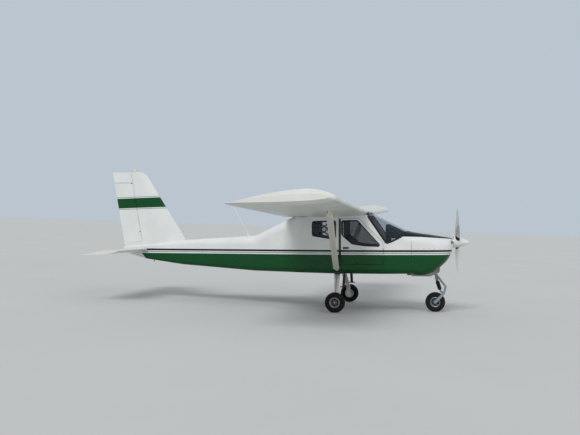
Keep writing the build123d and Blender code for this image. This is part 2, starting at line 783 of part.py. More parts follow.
# Control surfaces
def part_off(form, hinge, span, nose_radius, gap, arms, tail=700.0, end_gap=MOVING_GAP):
    """Divide a lifting form at a hinge line into its fixed and its moving part.

    The hinge plane stands at the inner end with its normal along the hinge and its
    local x forward. The moving part has a round nose about the hinge, and notches
    whose pins sit in the eyes of the fixed arms.
    """
    def zone(radius, margin):
        with BuildPart() as volume:
            with BuildSketch(hinge.offset(-margin)):
                Circle(radius)
                with BuildLine():
                    Polyline((0, -tail), (0, tail), (-tail, tail), (-tail, -tail), close=True)
                make_face()
            extrude(amount=span + 2 * margin)
        return volume.part

    with BuildPart() as moving:
        add(form)
        add(zone(nose_radius, 0.0), mode=Mode.INTERSECT)
        for place in arms:
            with BuildSketch(hinge.offset(place - HINGE_NOTCH_WIDTH / 2)):
                with BuildLine():
                    depth = HINGE_NOTCH_DEPTH
                    Polyline((-depth, -90), (90, -90), (90, 90), (-depth, 90), close=True)
                make_face()
            extrude(amount=HINGE_NOTCH_WIDTH, mode=Mode.SUBTRACT)
            with BuildSketch(hinge.offset(place - HINGE_NOTCH_WIDTH / 2 - HINGE_PIN_ROOT)):
                Circle(HINGE_PIN)
            extrude(amount=HINGE_NOTCH_WIDTH + 2 * HINGE_PIN_ROOT)
    with BuildPart() as fixed:
        add(form)
        add(zone(nose_radius + gap, end_gap), mode=Mode.SUBTRACT)
        for place in arms:
            with BuildSketch(hinge.offset(place - HINGE_ARM_THICKNESS / 2)):
                Circle(HINGE_EYE_RADIUS)
                with Locations(((nose_radius + gap + 14.0) / 2, 0)):
                    Rectangle(nose_radius + gap + 14.0, 2 * HINGE_ARM_HALF_HEIGHT)
                Circle(HINGE_PIN + RUNNING_CLEARANCE, mode=Mode.SUBTRACT)
            extrude(amount=HINGE_ARM_THICKNESS)
    return fixed.part, moving.part


WING_AXIS = at(0, 1, wing_rise(1)) - at(0, 0, 0)


def wing_hinge(share, lift, y):
    """The hinge plane of a left wing surface at its inner end."""
    x, z = wing_point(share, lift)
    return Plane(origin=at(x, y, z + wing_rise(y)), x_dir=FORWARD, z_dir=WING_AXIS)


FLAP_HINGE = wing_hinge(FLAP_HINGE_FRACTION, 0.0186, FLAP_INNER_Y)
AILERON_HINGE = wing_hinge(AILERON_HINGE_FRACTION, 0.0173, AILERON_INNER_Y)
FLAP_SPAN = (FLAP_OUTER_Y - FLAP_INNER_Y) / cos(radians(WING_DIHEDRAL))
AILERON_SPAN = (AILERON_OUTER_Y - AILERON_INNER_Y) / cos(radians(WING_DIHEDRAL))

AILERON_ARMS = (320.0, AILERON_SPAN - 320.0)
FLAP_ARMS = (200.0, FLAP_SPAN / 2, FLAP_SPAN - 200.0)

WING_WITH_AILERON_CUT, AILERON_LEFT = part_off(
    WING_FORM, AILERON_HINGE, AILERON_SPAN, AILERON_NOSE_RADIUS, COVE_GAP, AILERON_ARMS)
WING_LEFT, FLAP_LEFT = part_off(
    WING_WITH_AILERON_CUT, FLAP_HINGE, FLAP_SPAN, FLAP_NOSE_RADIUS, COVE_GAP, FLAP_ARMS)

HINGE_TOP = at(RUDDER_HINGE_TOP[0], 0, RUDDER_HINGE_TOP[1])
RUDDER_AXIS = HINGE_TOP - at(RUDDER_HINGE_LOW[0], 0, RUDDER_HINGE_LOW[1])
RUDDER_SPAN = RUDDER_AXIS.length
RUDDER_UP = RUDDER_AXIS.normalized()
RUDDER_START = at(hinge_x(RUDDER_BOTTOM_Z), 0, RUDDER_BOTTOM_Z)
RUDDER_HINGE = Plane(origin=RUDDER_START, x_dir=Vector(0, 1, 0).cross(RUDDER_UP), z_dir=RUDDER_UP)
RUDDER_ARMS = (170.0, 1060.0)
FIN_FORM, RUDDER = part_off(
    TAIL_FORM, RUDDER_HINGE, RUDDER_SPAN, RUDDER_NOSE_RADIUS, COVE_GAP, RUDDER_ARMS)


def build_fin():
    """The fixed fin, seated on the tail cone."""
    with BuildPart() as fin:
        add(FIN_FORM)
        add(TAIL_CONE_FORM, mode=Mode.SUBTRACT)
    return fin.part.solids().sort_by(SortBy.VOLUME)[-1]


def stabilator_form():
    """The full-span tailplane with rounded tip corners."""
    tail_x = STABILATOR_LEADING_X - STABILATOR_CHORD
    with BuildPart() as form:
        tip = SIDE.offset(-STABILATOR_HALF_SPAN)
        section = lens_section(tip, STABILATOR_LEADING_X, STABILATOR_CHORD, STABILATOR_THICKNESS_RATIO)
        lifted = section.moved(Location(UPWARD * STABILATOR_Z))
        extrude(lifted, amount=2 * STABILATOR_HALF_SPAN, dir=(0, -1, 0))
        with BuildSketch(PLAN.offset(STABILATOR_Z)) as plan:
            with Locations(((STABILATOR_LEADING_X + tail_x) / 2, 0)):
                Rectangle(STABILATOR_CHORD + 2, 2 * STABILATOR_HALF_SPAN)
            fillet(plan.vertices().group_by(Axis.X)[-1], STABILATOR_TIP_CORNER)
        extrude(amount=100.0, both=True, mode=Mode.INTERSECT)
    return form.part


TAB_X = STABILATOR_LEADING_X - STABILATOR_CHORD + TAB_CHORD
TAB_HINGE = Plane(origin=at(TAB_X, -TAB_HALF_SPAN, STABILATOR_Z), x_dir=FORWARD, z_dir=(0, 1, 0))
TAB_ARMS = (180.0, 2 * TAB_HALF_SPAN - 180.0)
TAB_GAP = 7.0
STABILATOR_FORM = stabilator_form()
STABILATOR_PLANK, STABILATOR_TAB = part_off(
    STABILATOR_FORM, TAB_HINGE, 2 * TAB_HALF_SPAN, TAB_NOSE_RADIUS, TAB_GAP, TAB_ARMS, tail=200.0)


def drooped(piece):
    """A tailplane piece turned to its parked rest, trailing edge down on its stop."""
    pivot = Axis(at(STABILATOR_PIVOT_X, 0, STABILATOR_Z), (0, 1, 0))
    return piece.rotate(pivot, -STABILATOR_DROOP)


def build_stabilator():
    """Both tailplane halves on their torque tube."""
    with BuildPart() as tailplane:
        add(STABILATOR_PLANK)
        with BuildSketch(PLAN.offset(STABILATOR_Z)):
            with Locations((STABILATOR_LEADING_X - 300.0, 0)):
                Rectangle(1400.0, 2 * STABILATOR_ROOT_Y)
        extrude(amount=200.0, both=True, mode=Mode.SUBTRACT)
        reach = Vector(0, STABILATOR_ROOT_Y + 60.0, 0)
        pivot = at(STABILATOR_PIVOT_X, 0, STABILATOR_Z)
        add(rod(pivot - reach, pivot + reach, TORQUE_TUBE_RADIUS))
    return drooped(tailplane.part)


def build_tail_cone():
    """The tail cone, bored for the tailplane's torque tube."""
    last = TAIL_STATIONS[-1]
    inner = TAIL_STATIONS[:-1] + ((last[0] + TAIL_SKIN,) + last[1:],)
    with BuildPart() as cone:
        add(TAIL_CONE_FORM)
        add(hull_form(inner, TAIL_SKIN), mode=Mode.SUBTRACT)
        add(ROOF_FORM, mode=Mode.SUBTRACT)
        pivot = at(STABILATOR_PIVOT_X, 0, STABILATOR_Z)
        reach = Vector(0, 200.0, 0)
        add(rod(pivot - reach, pivot + reach, TORQUE_TUBE_RADIUS + RUNNING_CLEARANCE), mode=Mode.SUBTRACT)
    return cone.part


# Struts
def build_strut_left():
    """The left wing strut with a streamlined section and its end lugs."""
    x, y, z = STRUT_FOOT
    foot = at(x, y, z)
    under = wing_point((WING_LEADING_X - STRUT_TOP_X) / WING_CHORD, -0.041)
    top = at(STRUT_TOP_X, STRUT_TOP_Y, under[1] + wing_rise(STRUT_TOP_Y))
    reach = top - foot
    base = Plane(origin=foot, x_dir=FORWARD, z_dir=reach)
    half = STRUT_THICKNESS / 2
    with BuildPart() as strut:
        with BuildSketch(base.offset(36.0)):
            with BuildLine():
                front = STRUT_CHORD * 0.5
                nose = ThreePointArc((front * 0.76, half * 0.82), (front, 0), (front * 0.76, -half * 0.82))
                ThreePointArc(nose @ 1, (front * 0.24, -half), (-front, -1.0))
                Line((-front, -1.0), (-front, 1.0))
                ThreePointArc((-front, 1.0), (front * 0.24, half), nose @ 0)
            make_face()
        extrude(amount=reach.length - 96.0)
        with BuildSketch(base.offset(-30.0)):
            with Locations((8.0, 0)):
                Rectangle(44.0, 14.0)
        extrude(amount=reach.length + 60.0)
        add(CABIN_FORM, mode=Mode.SUBTRACT)
        add(WING_FORM, mode=Mode.SUBTRACT)
    return strut.part.solids().sort_by(SortBy.VOLUME)[-1]


# Main undercarriage
MAIN_AXLE = Vector(-CENTRE_X, TRACK / 2, MAIN_TYRE_RADIUS)
NOSE_AXLE = Vector(WHEEL_BASE - CENTRE_X, 0, NOSE_TYRE_RADIUS)


def build_gear_left():
    """The left spring leaf, tapered towards its axle, with the brake caliper beside the disc."""
    axle = datum(0, TRACK / 2, MAIN_TYRE_RADIUS)
    top_z = BELLY_Z - LEAF_THICKNESS / 2
    root = LEAF_ROOT_WIDTH / 2
    tip = LEAF_TIP_WIDTH / 2
    taper = (
        (LEAF_ROOT_X - root, BELLY_Z + 50.0),
        (LEAF_ROOT_X - root, BELLY_Z),
        (axle.X - tip - 4.0, 336.0),
        (axle.X - tip, 0.0),
        (axle.X + tip, 0.0),
        (axle.X + tip - 4.0, 336.0),
        (LEAF_ROOT_X + root, BELLY_Z),
        (LEAF_ROOT_X + root, BELLY_Z + 50.0),
    )
    axle_start = MAIN_AXLE - Vector(0, TRACK / 2 - LEAF_OUTER_Y + 6, 0)
    axle_end = MAIN_AXLE + Vector(0, TYRE_WIDTH / 2 - 6, 0)
    with BuildPart() as leg:
        with BuildSketch(STATION.offset(-200.0)):
            with BuildLine() as spine:
                FilletPolyline(
                    (LEAF_INNER_Y, top_z),
                    (LEAF_KNEE_Y, top_z),
                    (LEAF_OUTER_Y - 60, axle.Z + 130),
                    (LEAF_OUTER_Y - 4, axle.Z - 34),
                    radius=LEAF_BEND_RADIUS)
                offset(amount=LEAF_THICKNESS / 2, side=Side.BOTH)
            make_face()
        extrude(amount=400.0)
        add(both_sides_slab(taper, BIG), mode=Mode.INTERSECT)
        add(rod(axle_start, axle_end, AXLE_RADIUS))
        with BuildSketch(SIDE.offset(-CALIPER_INNER_Y)):
            with Locations((axle.X, axle.Z + (CALIPER_LOW + CALIPER_HIGH) / 2)):
                RectangleRounded(CALIPER_WIDTH, CALIPER_HIGH - CALIPER_LOW, 5.0)
        extrude(amount=CALIPER_INNER_Y - CALIPER_OUTER_Y)
    return leg.part


# Wheels
def wheel_pair(centre, tyre_radius, disc_offset=0.0):
    """Tyre and rim about a lateral axle, with a brake disc inboard if an offset is given."""
    across = Plane(origin=centre, x_dir=(0, 1, 0), z_dir=(-1, 0, 0))
    half = TYRE_WIDTH / 2
    with BuildPart() as tyre:
        with BuildSketch(across) as profile:
            with BuildLine():
                inner, outer = RIM_RADIUS, tyre_radius
                Polyline((-half, inner), (half, inner), (half, outer), (-half, outer), close=True)
            make_face()
            fillet(profile.vertices().group_by(Axis.Y)[-1], TYRE_SHOULDER)
            fillet(profile.vertices().group_by(Axis.Y)[0], 10.0)
        revolve(axis=Axis(centre, (0, 1, 0)))
    bore = AXLE_RADIUS + RUNNING_CLEARANCE
    rim_half = half - 14.0
    hub_half = rim_half + 6
    with BuildPart() as rim:
        with BuildSketch(across):
            with BuildLine():
                Polyline(
                    (-hub_half, bore),
                    (hub_half, bore),
                    (hub_half, 30.0),
                    (10.0, 34.0),
                    (10.0, 62.0),
                    (rim_half, RIM_RADIUS - 8),
                    (rim_half, RIM_RADIUS),
                    (-rim_half, RIM_RADIUS),
                    (-rim_half, RIM_RADIUS - 8),
                    (-10.0, 62.0),
                    (-10.0, 34.0),
                    (-hub_half, 30.0),
                    close=True)
            make_face()
        revolve(axis=Axis(centre, (0, 1, 0)))
        if disc_offset:
            hub_end = centre - Vector(0, disc_offset + DISC_THICKNESS / 2, 0)
            add(rod(hub_end, centre - Vector(0, rim_half, 0), 30.0))
            add(rod(hub_end, hub_end + Vector(0, DISC_THICKNESS, 0), DISC_RADIUS))
            add(rod(hub_end - Vector(0, 1, 0), centre, bore), mode=Mode.SUBTRACT)
    return tyre.part, rim.part


# Nose leg
def build_nose_housing():
    """The steering bearing with its two braces from the firewall."""
    low = STEER_POINT - STEER_DIRECTION * 26.0
    high = STEER_POINT + STEER_DIRECTION * 90.0
    with BuildPart() as housing:
        add(rod(low, high, NOSE_HOUSING_RADIUS))
        for side in (-1, 1):
            for height in (20.0, 70.0):
                wall = at(FIREWALL_X, side * 130, 690.0 + height)
                add(rod(wall, STEER_POINT + STEER_DIRECTION * height, 11.0))
        beyond = STEER_DIRECTION * 10
        add(rod(low - beyond, high + beyond, STEER_COLUMN_RADIUS + RUNNING_CLEARANCE), mode=Mode.SUBTRACT)
        add(CABIN_FORM, mode=Mode.SUBTRACT)
    return housing.part


COLUMN_BRACKET = (
    (1572.0, 566.0),
    (1634.0, 556.0),
    (1640.0, 520.0),
    (1618.0, 472.0),
    (1590.0, 468.0),
    (1574.0, 500.0),
)
CROWN_LUG = (
    (1722.0, 280.0),
    (1662.0, 300.0),
    (1652.0, 282.0),
    (1668.0, 270.0),
    (1722.0, 244.0),
)


def build_nose_fork():
    """The steered leg: column, raked tube, crown, fork plates and axle."""
    foot = STEER_POINT - STEER_DIRECTION * 118.0
    knee = at(1752.0, 0, 370.0)
    crown = at(1722.0, 0, 262.0)
    axle = datum(WHEEL_BASE, 0, NOSE_TYRE_RADIUS)
    with BuildPart() as fork:
        add(rod(foot, STEER_POINT + STEER_DIRECTION * 96.0, STEER_COLUMN_RADIUS))
        add(pipe((at(1600.0, 0, 566.0), knee, crown), 30.0, NOSE_TUBE_RADIUS))
        add(both_sides_slab(COLUMN_BRACKET, 7.0))
        add(both_sides_slab(CROWN_LUG, 6.0))
        across = Vector(0, FORK_HALF_WIDTH + FORK_PLATE, 0)
        add(rod(crown - across, crown + across, 20.0))
        for side in (-1, 1):
            with BuildSketch(SIDE.offset(-side * (FORK_HALF_WIDTH + FORK_PLATE / 2))):
                with BuildLine():
                    Line((1722.0, 262.0), (axle.X, axle.Z))
                trace(line_width=44.0)
                with Locations((axle.X, axle.Z)):
                    Circle(24.0)
            extrude(amount=FORK_PLATE / 2, both=True)
        axle_end = Vector(0, FORK_HALF_WIDTH + FORK_PLATE + TOW_PIN_LENGTH, 0)
        add(rod(NOSE_AXLE - axle_end, NOSE_AXLE + axle_end, AXLE_RADIUS))
    return fork.part


# Tie-down rings
def ring_lug(top, drop):
    """A tie-down eye that hangs below a point, its hole running fore and aft."""
    centre = top - UPWARD * drop
    middle = Plane(origin=centre, x_dir=(0, 1, 0), z_dir=FORWARD)
    with BuildPart() as lug:
        with BuildSketch(middle):
            Circle(RING_RADIUS)
            with Locations((0, (drop + 12.0) / 2)):
                Rectangle(RING_RADIUS, drop + 12.0)
            Circle(RING_HOLE_RADIUS, mode=Mode.SUBTRACT)
        extrude(amount=RING_THICKNESS / 2, both=True)
    return lug.part


def build_rings():
    """The eye below each wing, outboard of its strut, and the one below the tail."""
    x = STRUT_TOP_X
    y = STRUT_TOP_Y + WING_RING_OUTBOARD
    skin = wing_point((WING_LEADING_X - x) / WING_CHORD, -0.041)
    wing_top = at(x, y, skin[1] + wing_rise(y))
    with BuildPart() as rings:
        add(ring_lug(wing_top, RING_DROP))
        add(ring_lug(Vector(wing_top.X, -wing_top.Y, wing_top.Z), RING_DROP))
        add(WING_FORM, mode=Mode.SUBTRACT)
        add(mirrored(WING_FORM), mode=Mode.SUBTRACT)
        add(ring_lug(at(TAIL_RING_X, 0, 792.0), RING_DROP))
        add(TAIL_CONE_FORM, mode=Mode.SUBTRACT)
    return rings.part


def build_nose_shock():
    """The ribbed shock strut between the column's bracket and the crown's lug."""
    high = at(1603.0, 0, 486.0)
    low = at(1668.0, 0, 285.0)
    reach = low - high
    across = Vector(0, 15.0, 0)
    with BuildPart() as shock:
        add(rod(high - across, high + across, 13.0))
        add(rod(low - across, low + across, 12.0))
        add(rod(high, low, 9.0))
        add(rod(high + reach * 0.05, high + reach * 0.86, 20.0))
        for step in (0.12, 0.25, 0.38, 0.51, 0.64):
            add(rod(high + reach * step, high + reach * (step + 0.07), 26.0))
        add(FORK, mode=Mode.SUBTRACT)
    return shock.part.solids().sort_by(SortBy.VOLUME)[-1]


# Propeller
PROP_CENTRE = at(PROP_PLANE_X, 0, PROP_AXIS_Z)
BLADE_STATIONS = (
    (40.0, 60.0, 36.0, 52.0),
    (180.0, 112.0, 24.0, 42.0),
    (400.0, 140.0, 16.0, 26.0),
    (640.0, 124.0, 11.0, 18.0),
    (790.0, 92.0, 8.0, 15.0),
    (PROP_RADIUS, 34.0, 4.0, 14.0),
)


def build_blade(turn):
    """One blade: radius, chord, thickness and pitch at each station."""
    radial = UPWARD * cos(radians(turn)) - Vector(0, 1, 0) * sin(radians(turn))
    running = FORWARD.cross(radial)
    sections = []
    for radius, chord, thickness, pitch in BLADE_STATIONS:
        lead = running * cos(radians(pitch)) + FORWARD * sin(radians(pitch))
        with BuildSketch(Plane(origin=PROP_CENTRE + radial * radius, x_dir=lead, z_dir=radial)) as section:
            with BuildLine():
                ThreePointArc((-chord / 2, 0), (chord * 0.1, thickness * 0.7), (chord / 2, 0))
                ThreePointArc((chord / 2, 0), (chord * 0.1, -thickness * 0.3), (-chord / 2, 0))
            make_face()
        sections.append(section.sketch)
    with BuildPart() as blade:
        loft(sections)
    return blade.part


def build_prop():
    """Two blades, the hub and the shaft that runs back into the gearbox."""
    with BuildPart() as prop:
        add(build_blade(PROP_REST_TURN))
        add(build_blade(PROP_REST_TURN + 180.0))
        add(rod(at(SPINNER_BACK_X + 8, 0, PROP_AXIS_Z), at(PROP_PLANE_X + 34, 0, PROP_AXIS_Z), 56.0))
        add(rod(at(1750.0, 0, PROP_AXIS_Z), at(PROP_PLANE_X, 0, PROP_AXIS_Z), PROP_SHAFT_RADIUS))
    return prop.part


def ogive(back_x, tip_x, radius):
    """A pointed dome on the propeller's axis."""
    with BuildPart() as dome:
        with BuildSketch(SIDE):
            with BuildLine():
                rim, tip = (back_x, PROP_AXIS_Z + radius), (tip_x, PROP_AXIS_Z + 4)
                nose = TangentArc(rim, tip, tangent=(1, -0.02))
                Line(nose @ 1, (tip_x, PROP_AXIS_Z))
                Line((tip_x, PROP_AXIS_Z), (back_x, PROP_AXIS_Z))
                Line((back_x, PROP_AXIS_Z), nose @ 0)
            make_face()
        revolve(axis=Axis(PROP_CENTRE, FORWARD))
    return dome.part


def build_spinner():
    """The hollow pointed spinner with its back plate, cut out for the blades."""
    with BuildPart() as spinner:
        add(ogive(SPINNER_BACK_X, SPINNER_TIP_X, SPINNER_RADIUS))
        add(ogive(SPINNER_BACK_X + 5, SPINNER_TIP_X - 20, SPINNER_RADIUS - 4), mode=Mode.SUBTRACT)
        add(PROP, mode=Mode.SUBTRACT)
    return spinner.part.solids().sort_by(SortBy.VOLUME)[-1]


# Cabin fittings
def build_seat_left():
    """The left seat: cushion and back as one padded shell on two side frames."""
    outline = (
        (-10.0, 700.0),
        (430.0, 726.0),
        (440.0, 800.0),
        (60.0, 796.0),
        (-130.0, 1290.0),
        (-215.0, 1270.0),
        (-90.0, 860.0),
    )
    frame = ((20.0, FLOOR_Z), (380.0, FLOOR_Z), (400.0, 730.0), (20.0, 710.0))
    with BuildPart() as seat:
        add(side_slab(outline, 36.0, 486.0))
        fillet(seat.edges().filter_by(Axis.Y), 18.0)
        for inner_y in (76.0, 426.0):
            add(side_slab(frame, inner_y, inner_y + 20.0))
    return seat.part


def build_sticks():
    """The two control sticks on the floor and the two pairs of rudder pedals before the firewall."""
    with BuildPart() as sticks:
        for y in (-250.0, 250.0):
            add(rod(at(560.0, y, FLOOR_Z), at(560.0, y, FLOOR_Z + 22.0), 30.0))
            add(pipe((at(560.0, y, FLOOR_Z + 10.0), at(540.0, y, 820.0), at(500.0, y, 960.0)), 60.0, 9.0))
            add(rod(at(500.0, y, 956.0), at(468.0, y, 1066.0), 17.0))
    with BuildPart() as pedals:
        for y in (-345.0, -175.0, 175.0, 345.0):
            add(rod(at(1168.0, y, BELLY_Z - 20.0), at(1168.0, y, 780.0), 8.0))
            add(side_slab(upright(1156.0, 1166.0, 716.0, 826.0), y - 38.0, y + 38.0))
        add(CABIN_CORE, mode=Mode.INTERSECT)
    with BuildPart() as controls:
        add(sticks.part)
        add(pedals.part)
    return controls.part


def build_cabin_frame():
    """The visible cabin tubes: a pair of diagonals on each side behind the doors."""
    with BuildPart() as frame:
        for side in (-1, 1):
            rear_y = side * 466.0
            front_y = side * 516.0
            add(rod(at(-560.0, rear_y, 560.0), at(-560.0, rear_y, 1620.0), 11.0))
            add(rod(at(-64.0, front_y, 560.0), at(-64.0, front_y, 1620.0), 11.0))
            add(rod(at(-560.0, rear_y, 1180.0), at(-64.0, front_y, 1500.0), 11.0))
            add(rod(at(-560.0, rear_y, 1500.0), at(-64.0, front_y, 1180.0), 11.0))
            add(rod(at(-560.0, rear_y, 660.0), at(-64.0, front_y, 1180.0), 11.0))
        add(CABIN_CORE, mode=Mode.INTERSECT)
        add(ROOF_FORM, mode=Mode.SUBTRACT)
    return frame.part


def build_steps():
    """The boarding step below each door."""
    with BuildPart() as steps:
        for side in (-1, 1):
            add(rod(at(96.0, side * 470.0, BELLY_Z + 4), at(96.0, side * 560.0, 392.0), 11.0))
            with BuildSketch(PLAN.offset(380.0)):
                with Locations((96.0, side * 572.0)):
                    RectangleRounded(110.0, 70.0, 14.0)
            extrude(amount=12.0)
        add(CABIN_FORM, mode=Mode.SUBTRACT)
    return steps.part


def build_antenna():
    """The whip aerial on the turtledeck."""
    with BuildPart() as whip:
        add(rod(at(-1655.0, 0, 1218.0), at(-1937.0, 0, 1734.0), 4.0))
        with BuildSketch(PLAN.offset(1200.0)):
            with Locations((-1655.0, 0)):
                Circle(20.0)
        extrude(amount=30.0)
        add(TAIL_CONE_FORM, mode=Mode.SUBTRACT)
    return whip.part.solids().sort_by(SortBy.VOLUME)[-1]


def build_beacon():
    """The beacon on the fin's top."""
    place = (hinge_x(FIN_TOP_Z) + BEACON_AHEAD, 0)
    with BuildPart() as lamp:
        with BuildSketch(PLAN.offset(FIN_TOP_Z)):
            with Locations(place):
                Circle(BEACON_RADIUS - 4)
        extrude(amount=52.0)
        fillet(lamp.faces().sort_by(Axis.Z)[-1].edges(), 26.0)
        with BuildSketch(PLAN.offset(FIN_TOP_Z)):
            with Locations(place):
                Circle(BEACON_RADIUS)
        extrude(amount=10.0)
    return lamp.part


FORK = build_nose_fork()
PROP = build_prop()
COWL = build_cowl()


def cowl_half(low, high):
    """The cowling between two heights."""
    with BuildPart() as half:
        add(COWL)
        add(both_sides_slab(((900, low), (2200, low), (2200, high), (900, high)), BIG), mode=Mode.INTERSECT)
    return half.part


write(build_cabin_tub(), "cabin_tub")
side = build_side_left()
write(side, "side_left")
write(mirrored(side), "side_right")
write(build_front_deck(), "front_deck")
write(build_windshield(), "windshield")
window = build_rear_window_left()
with BuildPart() as rear_windows:
    add(window)
    add(mirrored(window))
write(rear_windows.part, "rear_windows")
write(build_firewall(), "firewall")
write(build_rear_bulkhead(), "rear_bulkhead")
write(build_instrument_panel(), "instrument_panel")
door = build_door_left()
write(door, "door_left")
write(mirrored(door), "door_right")
glass = build_door_glass_left()
write(glass, "door_glass_left")
write(mirrored(glass), "door_glass_right")
hinges = build_hinge_left()
with BuildPart() as door_hinges:
    add(hinges)
    add(mirrored(hinges))
write(door_hinges.part, "door_hinges")
write(cowl_half(COWL_SPLIT_Z, 2000.0), "cowling_upper")
write(cowl_half(0.0, COWL_SPLIT_Z), "cowling_lower")
write(build_exhaust(), "exhaust")
write(build_cooling_duct(), "cooling_duct")
write(build_engine(), "engine")
write(ROOF_FORM, "roof_centre")
write(WING_LEFT, "wing_left")
write(mirrored(WING_LEFT), "wing_right")
write(FLAP_LEFT, "flap_left")
write(mirrored(FLAP_LEFT), "flap_right")
write(AILERON_LEFT, "aileron_left")
write(mirrored(AILERON_LEFT), "aileron_right")
strut = build_strut_left()
with BuildPart() as struts:
    add(strut)
    add(mirrored(strut))
write(struts.part, "struts")
write(build_tail_cone(), "tail_cone")
write(build_fin(), "fin")
write(RUDDER, "rudder")
write(build_stabilator(), "stabilator")
write(drooped(STABILATOR_TAB), "stabilator_tab")
leg = build_gear_left()
with BuildPart() as gear_legs:
    add(leg)
    add(mirrored(leg))
write(gear_legs.part, "gear_legs")
tyre, rim = wheel_pair(MAIN_AXLE, MAIN_TYRE_RADIUS, DISC_OFFSET)
write(tyre, "main_tyre_left")
write(rim, "main_rim_left")
write(mirrored(tyre), "main_tyre_right")
write(mirrored(rim), "main_rim_right")
tyre, rim = wheel_pair(NOSE_AXLE, NOSE_TYRE_RADIUS)
write(tyre, "nose_tyre")
write(rim, "nose_rim")
write(build_nose_housing(), "nose_housing")
write(FORK, "nose_fork")
write(build_nose_shock(), "nose_shock")
write(PROP, "propeller")
write(build_spinner(), "spinner")
seat = build_seat_left()
with BuildPart() as seats:
    add(seat)
    add(mirrored(seat))
write(seats.part, "seats")
write(build_sticks(), "control_sticks")
write(build_cabin_frame(), "cabin_frame")
write(build_steps(), "boarding_steps")
write(build_antenna(), "antenna")
write(build_beacon(), "beacon")
write(build_rings(), "tie_down_rings")
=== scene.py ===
"""A two-seat high-wing microlight aeroplane: its finishes, fittings, studio and camera."""

import logging
import math
from dataclasses import dataclass, field
from enum import Enum
from functools import cache
from typing import Iterable, Sequence

import bmesh
import bpy
from bpy.types import ID, Material, Mesh, Node, NodeSocket, NodeTree, Object
from mathutils import Matrix, Vector
from mathutils.bvhtree import BVHTree


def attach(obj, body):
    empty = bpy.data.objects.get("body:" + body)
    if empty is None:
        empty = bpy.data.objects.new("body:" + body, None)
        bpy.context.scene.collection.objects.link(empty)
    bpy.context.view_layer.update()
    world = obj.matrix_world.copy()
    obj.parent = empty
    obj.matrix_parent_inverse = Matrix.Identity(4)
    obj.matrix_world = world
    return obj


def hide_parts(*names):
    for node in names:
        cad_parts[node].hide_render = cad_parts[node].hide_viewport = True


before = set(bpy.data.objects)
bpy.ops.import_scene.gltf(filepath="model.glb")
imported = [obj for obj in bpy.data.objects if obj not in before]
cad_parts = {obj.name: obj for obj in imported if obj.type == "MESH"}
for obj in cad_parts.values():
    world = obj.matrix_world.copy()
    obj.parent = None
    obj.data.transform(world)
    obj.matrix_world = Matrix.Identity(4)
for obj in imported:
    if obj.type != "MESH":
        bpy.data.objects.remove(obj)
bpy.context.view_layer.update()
LOG = logging.getLogger("microlight")
logging.basicConfig(level=logging.INFO, format="%(name)s: %(message)s")

# The airframe's level datum: x forward from the main axle, z up, parked nose up.
SIT = math.radians(2.0)
AXLE_X = 1.096857
FORWARD = Vector((math.cos(SIT), 0.0, math.sin(SIT)))
UPWARD = Vector((-math.sin(SIT), 0.0, math.cos(SIT)))
LEFT = Vector((0.0, 1.0, 0.0))
SIDES = ((1, "left"), (-1, "right"))

Point2 = tuple[float, float]
Point3 = tuple[float, float, float]
Line = tuple[Point2, ...]
MeshData = tuple[list[Vector], list[list[int]]]
Laid = tuple[list[Vector], list[Vector]]


def at(x: float, y: float, z: float) -> Vector:
    """A datum point in the row frame."""
    return Vector((AXLE_X, y, 0.0)) + FORWARD * x + UPWARD * z


def linear(code: str, alpha: float = 1.0) -> tuple[float, float, float, float]:
    """An sRGB hex colour as linear values.

    Args:
        code: six hex digits.
        alpha: the fourth value.

    Returns:
        Linear red, green, blue and alpha.
    """
    channels = [int(code[i:i + 2], 16) / 255 for i in (0, 2, 4)]
    red, green, blue = (c / 12.92 if c <= 0.04045 else ((c + 0.055) / 1.055) ** 2.4 for c in channels)
    return red, green, blue, alpha


@dataclass
class Net:
    """A node tree that is being wired, with the start of its nodes' type names."""

    tree: NodeTree
    prefix: str

    def add(self, kind: str, feeds: dict | None = None, **settings: object) -> Node:
        """Add one node, set it and link it.

        Args:
            kind: the node's type, whole or without the prefix.
            feeds: for each input, by name or number, a value, a socket or a node whose first output feeds it.
            settings: the node's own properties.

        Returns:
            The new node.
        """
        made = self.tree.nodes.new(kind if "Node" in kind else self.prefix + kind)
        for key, value in settings.items():
            setattr(made, key, value)
        for key, value in (feeds or {}).items():
            source = value.outputs[0] if isinstance(value, Node) else value
            if isinstance(source, NodeSocket):
                self.tree.links.new(source, made.inputs[key])
            else:
                made.inputs[key].default_value = source
        return made


# Finishes
class Grain(Enum):
    """How a finish breaks up the light, from the way its surface was made."""

    SPRAYED = "sprayed"
    DOPED = "doped cloth"
    MOULDED = "moulded"
    CAST = "cast"
    BRUSHED = "brushed"
    WOVEN = "woven"
    PILED = "piled"


# Part of the noise's range over which a ground colour drifts, and over which its gloss wavers
PATCH_SPAN = {"From Min": 0.35, "From Max": 0.7}
RUB_SPAN = {"From Min": 0.3, "From Max": 0.7}
# Rubbed patches to one patch of colour, and the roughness at either end of them against the finish's own
RUBS_PER_PATCH, RUB_GLOSSY, RUB_DULL = 3.0, 0.85, 1.2
COAT_ROUGHNESS = 0.06
# Bands of the wave texture to one unit of its scale, and a brush mark's scale along its length
WAVE_BANDS, BRUSH_STRETCH = 3.2, 0.04


